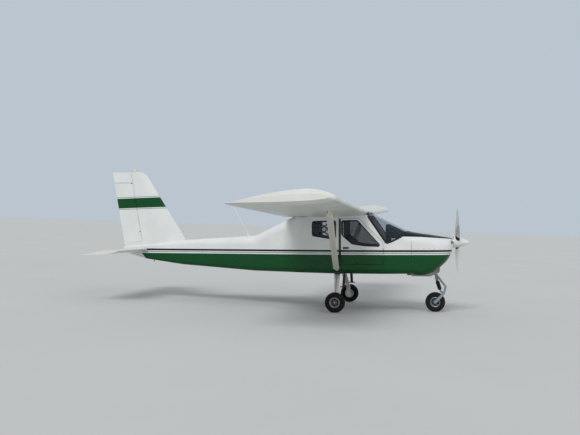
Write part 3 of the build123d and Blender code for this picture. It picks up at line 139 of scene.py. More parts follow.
@dataclass(frozen=True)
class Finish:
    """One surface finish: colour, how it varies, gloss and fine relief."""

    name: str
    shade: str
    deep: str
    roughness: float
    grain: Grain = Grain.SPRAYED
    grain_mm: float = 3.0
    relief: float = 0.1
    metallic: float = 0.0
    ior: float = 1.5
    coat: float = 0.0
    alpha: float = 1.0
    patch_mm: float = 400.0
    specular: float = 0.5

    def start(self) -> tuple[Material, Net, Node, Node]:
        """Start the material.

        Returns:
            The material, its tree, its shader and the datum coordinates of a surface point.
        """
        made = bpy.data.materials.new(self.name)
        made.use_nodes = True
        net = Net(made.node_tree, "ShaderNode")
        net.tree.nodes.clear()
        shader = net.add("BsdfPrincipled", {
            "Metallic": self.metallic, "IOR": self.ior, "Coat Weight": self.coat,
            "Coat Roughness": COAT_ROUGHNESS, "Alpha": self.alpha, "Specular IOR Level": self.specular})
        net.add("OutputMaterial", {"Surface": shader})
        spot = net.add("Mapping", {
            "Vector": net.add("TexCoord").outputs["Object"], "Rotation": (0.0, SIT, 0.0),
            "Location": (-AXLE_X * math.cos(SIT), 0.0, AXLE_X * math.sin(SIT))})
        return made, net, shader, spot

    def colour(self, net: Net, spot: Node) -> NodeSocket:
        """The ground colour, drifting between the two shades in broad soft patches.

        Args:
            net: the material's tree.
            spot: the datum coordinates.

        Returns:
            The colour's socket.
        """
        patches = net.add("TexNoise", {
            "Vector": spot, "Scale": 1000.0 / self.patch_mm, "Detail": 4.0, "Roughness": 0.6})
        drift = net.add("MapRange", {"Value": patches, **PATCH_SPAN})
        shades = {0: drift, 6: linear(self.shade), 7: linear(self.deep)}
        return net.add("Mix", shades, data_type="RGBA").outputs[2]

    def texture(self, net: Net, spot: Node) -> Node:
        """The height field of the fine relief.

        Args:
            net: the material's tree.
            spot: the datum coordinates.

        Returns:
            The node that gives the height.
        """
        scale = 1000.0 / self.grain_mm
        if self.grain is Grain.BRUSHED:
            spot = net.add("Mapping", {"Vector": spot, "Scale": (1.0, 1.0, BRUSH_STRETCH)})
        if self.grain in (Grain.WOVEN, Grain.DOPED):
            # crossed threads, one wave for the warp and one for the weft
            thread = {"Vector": spot, "Scale": scale / WAVE_BANDS, "Distortion": 0.6}
            warp, weft = (net.add("TexWave", thread, bands_direction=way).outputs[1] for way in "XY")
            return net.add("Math", {0: warp, 1: weft}, operation="MULTIPLY")
        if self.grain is Grain.MOULDED:
            return net.add("TexVoronoi", {"Vector": spot, "Scale": scale})
        detail = 8.0 if self.grain in (Grain.CAST, Grain.PILED) else 2.0
        return net.add("TexNoise", {"Vector": spot, "Scale": scale, "Detail": detail})

    def build(self) -> Material:
        """Make the material, with its colour, gloss and relief."""
        made, net, shader, spot = self.start()
        rub = net.add("TexNoise", {
            "Vector": spot, "Scale": 1000.0 / self.patch_mm * RUBS_PER_PATCH, "Detail": 5.0})
        gloss = net.add("MapRange", {
            "Value": rub, **RUB_SPAN, "To Min": self.roughness * RUB_GLOSSY,
            "To Max": min(1.0, self.roughness * RUB_DULL)})
        bump = net.add("Bump", {
            "Height": self.texture(net, spot), "Strength": self.relief, "Distance": self.grain_mm / 1000.0})
        colour = self.colour(net, spot)
        sources = {"Base Color": colour, "Roughness": gloss.outputs[0], "Normal": bump.outputs[0]}
        for name, source in sources.items():
            net.tree.links.new(source, shader.inputs[name])
        return made


# A station beyond either end of the aeroplane, in metres from the datum
BEYOND = 9.0
# A face whose direction against its arm from the hull's axis is under this looks inward
INWARD = -0.05


@dataclass(frozen=True)
class Edge:
    """A straight paint edge: the side where x * run + z is over the height."""

    run: float
    height: float


@dataclass(frozen=True)
class Region:
    """One painted region: over every edge in over, and under every edge in under."""

    shade: str
    over: tuple[Edge, ...] = ()
    under: tuple[Edge, ...] = ()
    ahead_of: float = -BEYOND
    behind: float = BEYOND


def stripe(shade: str, low: float, top: float, run: float = 0.0, **ends: float) -> Region:
    """A stripe between two parallel edges, with its ends as a region takes them."""
    return Region(shade, over=(Edge(run, low),), under=(Edge(run, top),), **ends)


@dataclass(frozen=True)
class Livery(Finish):
    """Gloss two-pack paint in several regions with straight edges, over a plain lining on inward faces."""

    regions: tuple[Region, ...] = ()
    lining: str = ""
    axis_z: float = 1.0

    def mask(self, net: Net, spot: Node, region: Region) -> Node:
        """Where one region is painted.

        Args:
            net: the material's tree.
            spot: the datum coordinates.
            region: the region.

        Returns:
            The node that gives 1 inside the region and 0 outside.
        """
        axes = net.add("SeparateXYZ", {0: spot})
        x, z = axes.outputs[0], axes.outputs[2]
        sides = [(x, region.ahead_of, "GREATER_THAN"), (x, region.behind, "LESS_THAN")]
        for edges, test in ((region.over, "GREATER_THAN"), (region.under, "LESS_THAN")):
            for edge in edges:
                line = net.add("Math", {0: x, 1: edge.run, 2: z}, operation="MULTIPLY_ADD")
                sides.append((line, edge.height, test))
        inside: Node | float = 1.0
        for value, limit, test in sides:
            side = net.add("Math", {0: value, 1: limit}, operation=test)
            inside = net.add("Math", {0: inside, 1: side}, operation="MULTIPLY")
        return inside

    def inward(self, net: Net, spot: Node) -> Node:
        """Where a face looks towards the hull's long axis.

        Args:
            net: the material's tree.
            spot: the datum coordinates.

        Returns:
            The node that gives 1 on inward faces and 0 on the others.
        """
        normal = {0: net.add("NewGeometry").outputs["True Normal"]}
        facing = net.add("VectorTransform", normal, vector_type="NORMAL", convert_from="WORLD",
                         convert_to="OBJECT")
        arm = net.add("VectorMath", {0: spot, 1: (0.0, 0.0, self.axis_z)}, operation="SUBTRACT")
        arm = net.add("VectorMath", {0: arm, 1: (0.0, 1.0, 1.0)}, operation="MULTIPLY")
        along = net.add("VectorMath", {0: facing, 1: arm}, operation="DOT_PRODUCT").outputs["Value"]
        return net.add("Math", {0: along, 1: INWARD}, operation="LESS_THAN")

    def colour(self, net: Net, spot: Node) -> NodeSocket:
        """The regions laid over the ground colour in order, then the lining.

        Args:
            net: the material's tree.
            spot: the datum coordinates.

        Returns:
            The colour's socket.
        """
        colour = super().colour(net, spot)
        coats = [(self.mask(net, spot, region), region.shade) for region in self.regions]
        if self.lining:
            coats.append((self.inward(net, spot), self.lining))
        for mask, shade in coats:
            mixed = net.add("Mix", {0: mask, 6: colour, 7: linear(shade)}, data_type="RGBA")
            colour = mixed.outputs[2]
        return colour


WHITE, WHITE_DEEP = "DEE1E0", "D3D8D8"
GREEN, BLACK_LINE, GREY_LINE, GLARE_NAVY = "02451C", "080C0A", "6C7C76", "0D1524"
# Heights of the hull's stripes, level with the datum, and where they end at the tail
GREEN_TOP, GREEN_TAIL = 0.917, Edge(1.168, -3.326)
LINE_LOW, LINE_TOP, LINE_END = 0.937, 0.950, -3.61
BLACK_LOW, BLACK_TOP, BLACK_END = 0.964, 0.996, -3.53
# The edge of the anti-glare paint falls forward, and faster on the nose
GLARE_SIDE, GLARE_X = Edge(0.0217, 1.241), 1.0
GLARE_NOSE, GLARE_NOSE_X = Edge(0.0701, 1.306), 1.34
# The fin's green band rises a little forward, between two thin lines
BAND_LOW, BAND_TOP = Edge(-0.0271, 1.830), Edge(-0.0284, 2.011)
UNDER_LINE, OVER_LINE = (1.806, 1.816, BAND_LOW.run), (2.025, 2.035, BAND_TOP.run)
# A thin painted shadow line crosses the rudder near its top, under its horn
RUDDER_HORN_SHADOW, HORN_SHADOW_X = (2.1795, 2.1865), -3.85

# White two-pack paint over gelcoat: clear gloss with a faint orange peel and slow patches of dust.
HULL = Livery(
    "gloss_hull_paint", WHITE, WHITE_DEEP, 0.25, specular=0.28, grain_mm=2.5, relief=0.006, lining="7B7D7C",
    regions=(
        Region(GREEN, under=(Edge(0.0, GREEN_TOP),), over=(GREEN_TAIL,)),
        stripe(GREY_LINE, LINE_LOW, LINE_TOP, ahead_of=LINE_END),
        stripe(BLACK_LINE, BLACK_LOW, BLACK_TOP, ahead_of=BLACK_END),
        Region(GLARE_NAVY, over=(GLARE_SIDE,), ahead_of=GLARE_X),
        Region(GLARE_NAVY, over=(GLARE_NOSE,), ahead_of=GLARE_NOSE_X),
    ))
# The same paint on the fin and rudder, without a lining.
FIN_PAINT = Livery(
    "gloss_fin_paint", WHITE, WHITE_DEEP, 0.26, specular=0.28, grain_mm=2.5, relief=0.006, regions=(
        Region(GREEN, over=(BAND_LOW,), under=(BAND_TOP,)),
        stripe(GREY_LINE, *UNDER_LINE),
        stripe(GREY_LINE, *OVER_LINE),
        # the painted shadow line under the rudder's horn, in the livery's line grey
        stripe(GREY_LINE, *RUDDER_HORN_SHADOW, behind=HORN_SHADOW_X),
    ))
# Doped polyester cloth over light frames: white, a little softer in gloss, weave just felt.
WING_PAINT = Finish("doped_wing_cloth", "DDDED9", "D2D4CE", 0.36, Grain.DOPED, grain_mm=3.0, relief=0.006)
# Sprayed tube: warm white, held deeper than the skins as painted shade, because the struts catch less light.
STRUT_PAINT = Finish("painted_strut_tube", "D6D4CB", "CAC8BD", 0.34, grain_mm=2.0, relief=0.005)
# Surface tape and rivet heads under the same dope, held a shade deeper as painted shade, standing in for the
# shading their thin relief is too small to give.
TAPE_DOPE = Finish("doped_surface_tape", "CED0CB", "C4C7C1", 0.42, Grain.DOPED, grain_mm=3.0, relief=0.01)
RIVET_PAINT = Finish("painted_rivet_head", "C3C6C2", "B5B8B3", 0.32, grain_mm=2.0, relief=0.01)
# The duct is bare white gelcoat, coloured grey-beige drifting to brown as painted shade and ground bounce
# under the belly, and the spinner is plain white.
DUCT_SHADED_GELCOAT = Finish("belly_shaded_gelcoat", "B9B6AC", "8F8B80", 0.4, grain_mm=3.0, relief=0.02,
                      patch_mm=120.0)
SPINNER_PAINT = Finish("white_spinner_paint", "E2E4E1", "DADCD9", 0.2, grain_mm=2.5, relief=0.01, coat=0.2)
# Brushed-on enamel of the undercarriage: a slight ripple, white on the leaves and blue-grey on the fork.
LEAF_PAINT = Finish("painted_spring_leaf", "D9DAD6", "C7C8C3", 0.33, grain_mm=2.0, relief=0.05)
LEG_PAINT = Finish("blue_grey_leg_paint", "8A9AA6", "75848F", 0.35, grain_mm=2.0, relief=0.05)
# Lacquer over the blades' glass skin: smooth, with a clear top coat.
BLADE_PAINT = Finish("white_blade_lacquer", "E3E2DE", "D2D1CC", 0.2, grain_mm=2.0, relief=0.02, coat=0.4)
# Cast acrylic sheet: sharp reflections, clear with a faint blue at this thickness, or tinted in the doors.
ACRYLIC = Finish("cast_acrylic_sheet", "3A4A57", "33424E", 0.07, grain_mm=200.0, relief=0.0, ior=1.49,
                 alpha=0.2)
TINTED_ACRYLIC = Finish("tinted_acrylic_sheet", "101C2E", "0C1725", 0.05, grain_mm=200.0, relief=0.0,
                        ior=1.49, alpha=0.42)
# Carbon black rubber: dull and greyed by the apron in small patches. The seals are smoother extrusions.
TYRE_RUBBER = Finish("carbon_black_rubber", "131314", "201F1E", 0.82, Grain.PILED, grain_mm=2.0, relief=0.2,
                     patch_mm=60.0, specular=0.25)
SEAL_RUBBER = Finish("epdm_seal_rubber", "0D0E0F", "151617", 0.6, grain_mm=1.5, relief=0.06, specular=0.3)
# Cast alloy: bright, finely pitted, dulled in patches by brake dust.
RIM_ALLOY = Finish("cast_wheel_alloy", "C6C9CC", "A6A9AC", 0.38, Grain.CAST, grain_mm=1.2, relief=0.12,
                   metallic=0.85, patch_mm=90.0)
# Zinc plate on bolts and pins: grey with a yellowish cast.
ZINC_STEEL = Finish("zinc_plated_steel", "A6A49C", "8B887E", 0.35, Grain.CAST, grain_mm=1.0, relief=0.08,
                    metallic=1.0, patch_mm=40.0)
# Powder coat on tubes and brackets: black, with a fine orange peel.
BLACK_STEEL = Finish("black_powder_coat", "17181A", "222325", 0.5, Grain.CAST, grain_mm=1.2, relief=0.12,
                     patch_mm=120.0)
# Stainless steel browned by heat.
EXHAUST_STEEL = Finish("heat_stained_stainless", "6E6052", "4A4038", 0.4, Grain.CAST, grain_mm=2.0,
                       relief=0.1, metallic=0.9, patch_mm=50.0)
# Sand casting: grey and grainy.
ENGINE_ALLOY = Finish("sand_cast_alloy", "77787A", "5C5D5F", 0.5, Grain.CAST, grain_mm=2.0, relief=0.3,
                      metallic=0.7, patch_mm=90.0)
# Rolled sheet: bright, with the mill's long marks.
SHEET_ALLOY = Finish("mill_finish_sheet", "A9ABAD", "97999B", 0.35, Grain.BRUSHED, grain_mm=1.0, relief=0.06,
                     metallic=0.9)
# Wrinkle coat on the panel: near black and without glare.
PANEL_COAT = Finish("wrinkle_black_coat", "121316", "191B1F", 0.85, grain_mm=1.5, relief=0.004, specular=0.2)
# Moulded ABS: charcoal, with a fine leather grain.
TRIM_PLASTIC = Finish("moulded_abs_trim", "1D1E20", "27282A", 0.5, Grain.MOULDED, grain_mm=1.4, relief=0.12,
                      patch_mm=150.0)
# Dial faces behind glass, so black with a sharp gloss, and the white print on them.
DIAL_GLASS = Finish("instrument_face", "0B0C0E", "121417", 0.12, grain_mm=2.0, relief=0.01, coat=0.8)
DIAL_WHITE = Finish("printed_white_mark", "E2E2DA", "D8D8D0", 0.5, grain_mm=1.0, relief=0.02)
# Needle felt: matt grey with a rough pile. Seat cloth and belt webbing: threads that cross.
CARPET = Finish("needle_felt_carpet", "33363A", "282A2E", 0.95, Grain.PILED, grain_mm=2.5, relief=0.6,
                patch_mm=80.0)
SEAT_CLOTH = Finish("woven_seat_cloth", "23262B", "1B1D22", 0.9, Grain.WOVEN, grain_mm=3.0, relief=0.5,
                    patch_mm=60.0)
BELT_WEB = Finish("polyester_webbing", "3A4B66", "303F58", 0.8, Grain.WOVEN, grain_mm=2.5, relief=0.5,
                  patch_mm=40.0)
# Pultruded glass fibre: off-white and smooth.
WHIP_GLASS = Finish("white_glass_fibre", "E4E3DD", "D8D7D0", 0.35, grain_mm=1.5, relief=0.03)
# The beacon's moulded lens: pale amber, wet gloss.
LAMP_AMBER = Finish("tinted_lamp_cover", "E6D9AE", "DCCB98", 0.12, Grain.MOULDED, grain_mm=4.0, relief=0.2,
                    ior=1.49, coat=0.8)


# The studio floor: matt and all but even.
FLOOR_COAT = Finish("pale_studio_floor", "C3C6C6", "C0C3C3", 0.9, grain_mm=30.0, relief=0.02, patch_mm=4000.0)


@cache
def material(finish: Finish) -> Material:
    """The material of a finish, built once."""
    return finish.build()


# Mesh helpers
def new_object(name: str, content: ID) -> Object:
    """A new object in the scene, holding a mesh, a lamp or a camera."""
    made = bpy.data.objects.new(name, content)
    bpy.context.scene.collection.objects.link(made)
    return made


def outward_mesh(name: str, data: MeshData, merge: float = 1e-6) -> Mesh:
    """A mesh whose doubles are merged and whose faces point outwards.

    Args:
        name: the mesh's name.
        data: its points and faces.
        merge: points closer than this are one.

    Returns:
        The new mesh.
    """
    mesh = bpy.data.meshes.new(name)
    mesh.from_pydata([tuple(p) for p in data[0]], [], data[1])
    shape = bmesh.new()
    shape.from_mesh(mesh)
    bmesh.ops.remove_doubles(shape, verts=shape.verts, dist=merge)
    bmesh.ops.recalc_face_normals(shape, faces=shape.faces)
    shape.to_mesh(mesh)
    shape.free()
    return mesh


def settle(source: Object) -> Object:
    """Replace an object by the plain mesh that its modifiers make, under the same name."""
    bpy.context.view_layer.update()
    evaluated = source.evaluated_get(bpy.context.evaluated_depsgraph_get())
    mesh = bpy.data.meshes.new_from_object(evaluated)
    name = source.name
    bpy.data.objects.remove(source)
    return new_object(name, mesh)


def hand_over(made: Object, finish: Finish, slot: str, body: str) -> Object:
    """Give a finished piece its material and its body, and report it.

    Args:
        made: the piece.
        finish: its surface finish.
        slot: the record's material slot; not used.
        body: the CAD body it rides on.

    Returns:
        The same piece.
    """
    made.data.materials.clear()
    made.data.materials.append(material(finish))
    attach(made, body)
    LOG.info("%s on %s, %d faces", made.name, body, len(made.data.polygons))
    return made


def piece(name: str, data: MeshData, finish: Finish, slot: str, body: str = "airframe", smooth: float = 40.0,
          bevel: float = 0.0) -> Object:
    """Make one finished piece, riding on its body.

    Args:
        name: the piece's name.
        data: its points and faces in the row frame.
        finish: its surface finish.
        slot: the record's material slot.
        body: the CAD body it rides on.
        smooth: edges under this angle in degrees are shaded smooth.
        bevel: width of a rounding on its sharp edges.

    Returns:
        The new object.
    """
    made = new_object(name, outward_mesh(name, data))
    if bevel:
        rounding = made.modifiers.new("rounding", "BEVEL")
        rounding.width, rounding.segments, rounding.limit_method = bevel, 2, "ANGLE"
        rounding.angle_limit = math.radians(35.0)
        made = settle(made)
    for polygon in made.data.polygons:
        polygon.use_smooth = True
    made.data.set_sharp_from_angle(angle=math.radians(smooth))
    return hand_over(made, finish, slot, body)


def joined(parts: Iterable[MeshData]) -> MeshData:
    """Several meshes as one."""
    points: list[Vector] = []
    faces: list[list[int]] = []
    for more_points, more_faces in parts:
        base = len(points)
        points += more_points
        faces += [[base + i for i in face] for face in more_faces]
    return points, faces


def flipped(data: MeshData) -> MeshData:
    """The mirror image about the centre plane."""
    return [Vector((p.x, -p.y, p.z)) for p in data[0]], [face[::-1] for face in data[1]]


def pair(data: MeshData) -> MeshData:
    """A left-hand mesh and its mirror image as one."""
    return joined([data, flipped(data)])


def wall_faces(rows: int, size: int, closed: bool = False) -> list[list[int]]:
    """Faces between rings of points.

    Args:
        rows: how many rings there are.
        size: how many points each ring has.
        closed: whether the last ring joins the first; otherwise each end gets a face.

    Returns:
        The faces as point numbers.
    """
    faces = []
    for i in range(rows if closed else rows - 1):
        j = (i + 1) % rows
        for k in range(size):
            m = (k + 1) % size
            faces.append([i * size + k, i * size + m, j * size + m, j * size + k])
    if not closed:
        faces += [list(range(size))[::-1], [(rows - 1) * size + k for k in range(size)]]
    return faces


def sweep(path: Sequence[Vector], outs: Sequence[Vector], profile: Sequence[Point2],
          closed: bool = False) -> MeshData:
    """Carry a closed profile along a path.

    Args:
        path: the points it passes through.
        outs: the outward direction at each point.
        profile: (across, out) pairs round the section, in metres.
        closed: whether the path closes on itself.

    Returns:
        The tube's points and faces.
    """
    count = len(path)
    points: list[Vector] = []
    for i, place in enumerate(path):
        ahead = path[(i + 1) % count] if closed or i < count - 1 else place
        behind = path[i - 1] if closed or i else place
        along = (ahead - behind).normalized()
        out = (outs[i] - along * outs[i].dot(along)).normalized()
        across = along.cross(out)
        points += [place + across * a + out * b for a, b in profile]
    return points, wall_faces(count, len(profile), closed)


def tube(path: Sequence[Vector], out: Vector, profile: Sequence[Point2]) -> MeshData:
    """A profile carried along a path with one outward direction."""
    return sweep(path, [out] * len(path), profile)


def oval(half_across: float, half_out: float, steps: int = 12) -> list[Point2]:
    """An oval profile."""
    turns = [2 * math.pi * k / steps for k in range(steps)]
    return [(half_across * math.cos(turn), half_out * math.sin(turn)) for turn in turns]


def ring(radius: float, steps: int = 12) -> list[Point2]:
    """A round profile."""
    return oval(radius, radius, steps)


def strip(width: float, height: float) -> list[Point2]:
    """A flat moulding's profile: chamfered above, sunk a little below the surface."""
    half, crown, sunk, edge = width / 2, width / 2 * 0.6, -height * 0.4, height * 0.5
    return [(-half, sunk), (half, sunk), (half, edge), (crown, height), (-crown, height), (-half, edge)]


def lathe(profile: Sequence[Point2], centre: Vector, axis: Vector, steps: int = 48) -> MeshData:
    """Turn a closed profile about an axis.

    Args:
        profile: (along, radius) pairs, in metres.
        centre: where along is zero.
        axis: the direction of along.
        steps: how many facets go round.

    Returns:
        The turned shape's points and faces.
    """
    axis = axis.normalized()
    side = axis.orthogonal().normalized()
    other = axis.cross(side)
    points = []
    for k in range(steps):
        turn = 2 * math.pi * k / steps
        radial = side * math.cos(turn) + other * math.sin(turn)
        points += [centre + axis * along + radial * radius for along, radius in profile]
    return points, wall_faces(steps, len(profile), closed=True)


def block(xs: Point2, ys: Point2, zs: Point2, taper: float = 0.0) -> MeshData:
    """A box.

    Args:
        xs, ys, zs: its two limits along each datum axis, in either order.
        taper: how far its top is drawn in on every side.

    Returns:
        The box's points and faces.
    """
    (x0, x1), (y0, y1), (z0, z1) = sorted(xs), sorted(ys), sorted(zs)
    points = []
    for z, t in ((z0, 0.0), (z1, taper)):
        corners = ((x0 + t, y0 + t), (x1 - t, y0 + t), (x1 - t, y1 - t), (x0 + t, y1 - t))
        points += [at(x, y, z) for x, y in corners]
    return points, wall_faces(2, 4)


CORNER_STEPS = 6


def arc_corners(outline: Sequence[Point3], step: float = 0.03) -> list[Point2]:
    """A closed polygon with rounded corners, walked in short steps.

    Args:
        outline: x, z and corner radius of each corner.
        step: the longest step along a straight run.

    Returns:
        The points of the rounded outline.
    """
    walked: list[Point2] = []
    for i, (x, z, radius) in enumerate(outline):
        here = Vector((x, z))
        back = Vector(outline[i - 1][:2]) - here
        ahead = Vector(outline[(i + 1) % len(outline)][:2]) - here
        half = back.angle(ahead) / 2
        cut = radius / math.tan(half)
        start, end = here + back.normalized() * cut, here + ahead.normalized() * cut
        hub = here + (back.normalized() + ahead.normalized()).normalized() * (radius / math.sin(half))
        first, last = start - hub, end - hub
        turn = first.angle_signed(last) if radius else 0.0
        for k in range(CORNER_STEPS + 1):
            turned = first.copy()
            turned.rotate(Matrix.Rotation(-turn * k / CORNER_STEPS, 2))
            walked.append(tuple(hub + turned))
    dense: list[Point2] = []
    for i, (x, z) in enumerate(walked):
        nx, nz = walked[(i + 1) % len(walked)]
        pieces = max(1, int(math.hypot(nx - x, nz - z) / step))
        dense += [(x + (nx - x) * k / pieces, z + (nz - z) * k / pieces) for k in range(pieces)]
    return dense


def grown(outline: Sequence[Point2], by: float) -> list[Point2]:
    """A closed outline moved outward.

    Args:
        outline: its points.
        by: the distance.

    Returns:
        The moved points.
    """
    ahead = [*outline[1:], outline[0]]
    area = sum(x * nz - nx * z for (x, z), (nx, nz) in zip(outline, ahead))
    reach = math.copysign(by, area)
    moved: list[Point2] = []
    for i, (x, z) in enumerate(outline):
        back, front = outline[i - 1], ahead[i]
        along = Vector((front[0] - back[0], front[1] - back[1])).normalized()
        moved.append((x + along.y * reach, z - along.x * reach))
    return moved


@dataclass
class Skin:
    """The outer surface of some CAD nodes, probed by rays."""

    nodes: tuple[str, ...]
    clear_y: float = 1.2
    clear_radius: float = 1.5
    hull_z: float = 0.95
    finder: BVHTree = field(init=False)

    def __post_init__(self) -> None:
        """Gather the nodes' faces."""
        points: list[Vector] = []
        faces: list[tuple[int, ...]] = []
        for name in self.nodes:
            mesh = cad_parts[name].data
            base = len(points)
            points += [v.co.copy() for v in mesh.vertices]
            faces += [tuple(base + i for i in p.vertices) for p in mesh.polygons]
        self.finder = BVHTree.FromPolygons(points, faces)

    def near(self, spot: Vector) -> Vector:
        """The surface's nearest point."""
        return self.finder.find_nearest(spot)[0]

    def touch(self, start: Vector, aim: Vector) -> tuple[Vector, Vector]:
        """Where a ray from outside meets the surface, or else the point nearest to the ray's first metre.

        Args:
            start: where the ray starts.
            aim: its direction.

        Returns:
            The point and the outward direction there.
        """
        place, normal, _, _ = self.finder.ray_cast(start, aim.normalized())
        if place is None:
            place, normal, _, _ = self.finder.find_nearest(start + aim)
        return place, (normal if normal.dot(aim) < 0 else -normal)

    def lay(self, rays: Iterable[tuple[Vector, Vector]]) -> Laid:
        """The touched points of several rays, and the outward directions there."""
        hits = [self.touch(start, aim) for start, aim in rays]
        return [h[0] for h in hits], [h[1] for h in hits]

    def from_side(self, outline: Iterable[Point2], side: int) -> Laid:
        """A side-view outline laid on the surface from the left (1) or the right (-1)."""
        return self.lay((at(x, side * self.clear_y, z), -LEFT * side) for x, z in outline)

    def plan(self, outline: Iterable[Point2], height: float, aim: Vector = -UPWARD) -> Laid:
        """A plan-view outline laid on the surface from a height, downward or along the aim."""
        return self.lay((at(x, y, height), aim) for x, y in outline)

    def hoop(self, x: float, reach: float, steps: int) -> Laid:
        """Points round the hull at a station, from low on one side over the top to low on the other.

        Args:
            x: the station.
            reach: how far down either side it goes, in right angles from the top.
            steps: how many parts it has.

        Returns:
            The points and the outward directions there.
        """
        end = reach * math.pi / 2
        turns = [-end + 2 * end * k / steps for k in range(steps + 1)]
        aims = [LEFT * -math.sin(turn) - UPWARD * math.cos(turn) for turn in turns]
        return self.lay((at(x, 0, self.hull_z) - aim * self.clear_radius, aim) for aim in aims)


# Node trees for what repeats
def new_group(name: str, inputs: dict[str, tuple[str, object]],
              result: str) -> tuple[Net, dict[str, NodeSocket]]:
    """Start a Geometry Nodes tree with named inputs.

    Args:
        name: the tree's name.
        inputs: each input's kind and first value, or None where its kind has none, by its name.
        result: the output's name.

    Returns:
        The tree and its inputs' sockets by name.
    """
    net = Net(bpy.data.node_groups.new(name, "GeometryNodeTree"), "GeometryNode")
    for label, (kind, value) in (*inputs.items(), ("Finish", ("Material", None))):
        socket = net.tree.interface.new_socket(label, in_out="INPUT", socket_type=f"NodeSocket{kind}")
        if value is not None:
            socket.default_value = value
    net.tree.interface.new_socket(result, in_out="OUTPUT", socket_type="NodeSocketGeometry")
    given = net.add("NodeGroupInput")
    return net, {label: given.outputs[label] for label in (*inputs, "Finish")}


def end_group(net: Net, shape: Node, given: dict[str, NodeSocket]) -> NodeTree:
    """End a tree with its instances realised and its material set.

    Args:
        net: the tree.
        shape: the node that gives its shape.
        given: its inputs' sockets by name.

    Returns:
        The whole tree.
    """
    real = net.add("RealizeInstances", {0: shape})
    dressed = net.add("SetMaterial", {0: real, "Material": given["Finish"]})
    net.add("NodeGroupOutput", {0: dressed})
    return net.tree


def placed(net: Net, shape: Node, given: dict[str, NodeSocket]) -> Node:
    """Turn a shape's z axis to the tree's Axis and move it to its Centre."""
    turn = net.add("FunctionNodeAlignRotationToVector", {"Vector": given["Axis"]}, axis="Z")
    return net.add("Transform", {"Geometry": shape, "Translation": given["Centre"], "Rotation": turn})


def fastener_tree() -> NodeTree:
    """Domed heads set along edges at a spacing, each facing along the aim attribute."""
    net, given = new_group("fastener_rows", {
        "Rows": ("Geometry", None), "Spacing": ("Float", 0.05), "Radius": ("Float", 0.003),
        "Height": ("Float", 0.001)}, "Heads")
    rows = net.add("MeshToCurve", {0: given["Rows"]})
    spaced = net.add("ResampleCurve", {0: rows, "Length": given["Spacing"]}, mode="LENGTH")
    dome = net.add("MeshUVSphere", {"Segments": 10, "Rings": 6, "Radius": 1.0})
    size = net.add("ShaderNodeCombineXYZ", {0: given["Radius"], 1: given["Radius"], 2: given["Height"]})
    head = net.add("Transform", {"Geometry": dome, "Scale": size})
    aim = net.add("InputNamedAttribute", {"Name": "aim"}, data_type="FLOAT_VECTOR")
    turn = net.add("FunctionNodeAlignRotationToVector", {"Vector": aim}, axis="Z")
    heads = net.add("InstanceOnPoints", {"Points": spaced, "Instance": head, "Rotation": turn})
    return end_group(net, heads, given)


def bolt_circle_tree() -> NodeTree:
    """Prism heads set evenly round a circle about a centre and an axis."""
    net, given = new_group("bolt_circle", {
        "Base": ("Geometry", None), "Count": ("Int", 6), "Sides": ("Int", 6),
        "Circle Radius": ("Float", 0.05), "Head Radius": ("Float", 0.005),
        "Head Height": ("Float", 0.004), "Head Width": ("Float", 1.0),
        "Centre": ("Vector", None), "Axis": ("Vector", None)}, "Heads")
    loop = net.add("MeshCircle", {"Vertices": given["Count"], "Radius": given["Circle Radius"]})
    head = net.add("MeshCylinder", {
        "Vertices": given["Sides"], "Radius": given["Head Radius"], "Depth": given["Head Height"]})
    spread = net.add("ShaderNodeCombineXYZ", {0: given["Head Width"], 1: 1.0, 2: 1.0})
    shaped = net.add("Transform", {"Geometry": head, "Scale": spread})
    place = net.add("InputPosition")
    outward = net.add("FunctionNodeAlignRotationToVector", {"Vector": place}, axis="Y")
    heads = net.add("InstanceOnPoints", {"Points": loop, "Instance": shaped, "Rotation": outward})
    return end_group(net, placed(net, heads, given), given)


def screen_tree() -> NodeTree:
    """A woven wire screen of round wires, facing along an axis."""
    net, given = new_group("wire_screen", {
        "Base": ("Geometry", None), "Width": ("Float", 0.1), "Height": ("Float", 0.07),
        "Wire Radius": ("Float", 0.0008), "Wires Across": ("Int", 14), "Wires Up": ("Int", 10),
        "Centre": ("Vector", None), "Axis": ("Vector", None)}, "Screen")
    grid = net.add("MeshGrid", {
        "Size X": given["Height"], "Size Y": given["Width"],
        "Vertices X": given["Wires Up"], "Vertices Y": given["Wires Across"]})
    wires = net.add("MeshToCurve", {0: grid})
    section = net.add("CurvePrimitiveCircle", {"Resolution": 5, "Radius": given["Wire Radius"]})
    round_wires = net.add("CurveToMesh", {"Curve": wires, "Profile Curve": section})
    return end_group(net, placed(net, round_wires, given), given)


@dataclass(frozen=True)
class HeadCircle:
    """Sizes of a circle of prism heads."""

    count: int
    radius: float
    head: float
    height: float
    sides: int = 6
    width: float = 1.0

    def inputs(self, centre: Vector, axis: Vector) -> dict[str, object]:
        """The bolt circle's inputs for heads about a centre that face along an axis."""
        return {"Count": self.count, "Sides": self.sides, "Circle Radius": self.radius,
                "Head Radius": self.head, "Head Height": self.height, "Head Width": self.width,
                "Centre": centre, "Axis": axis}


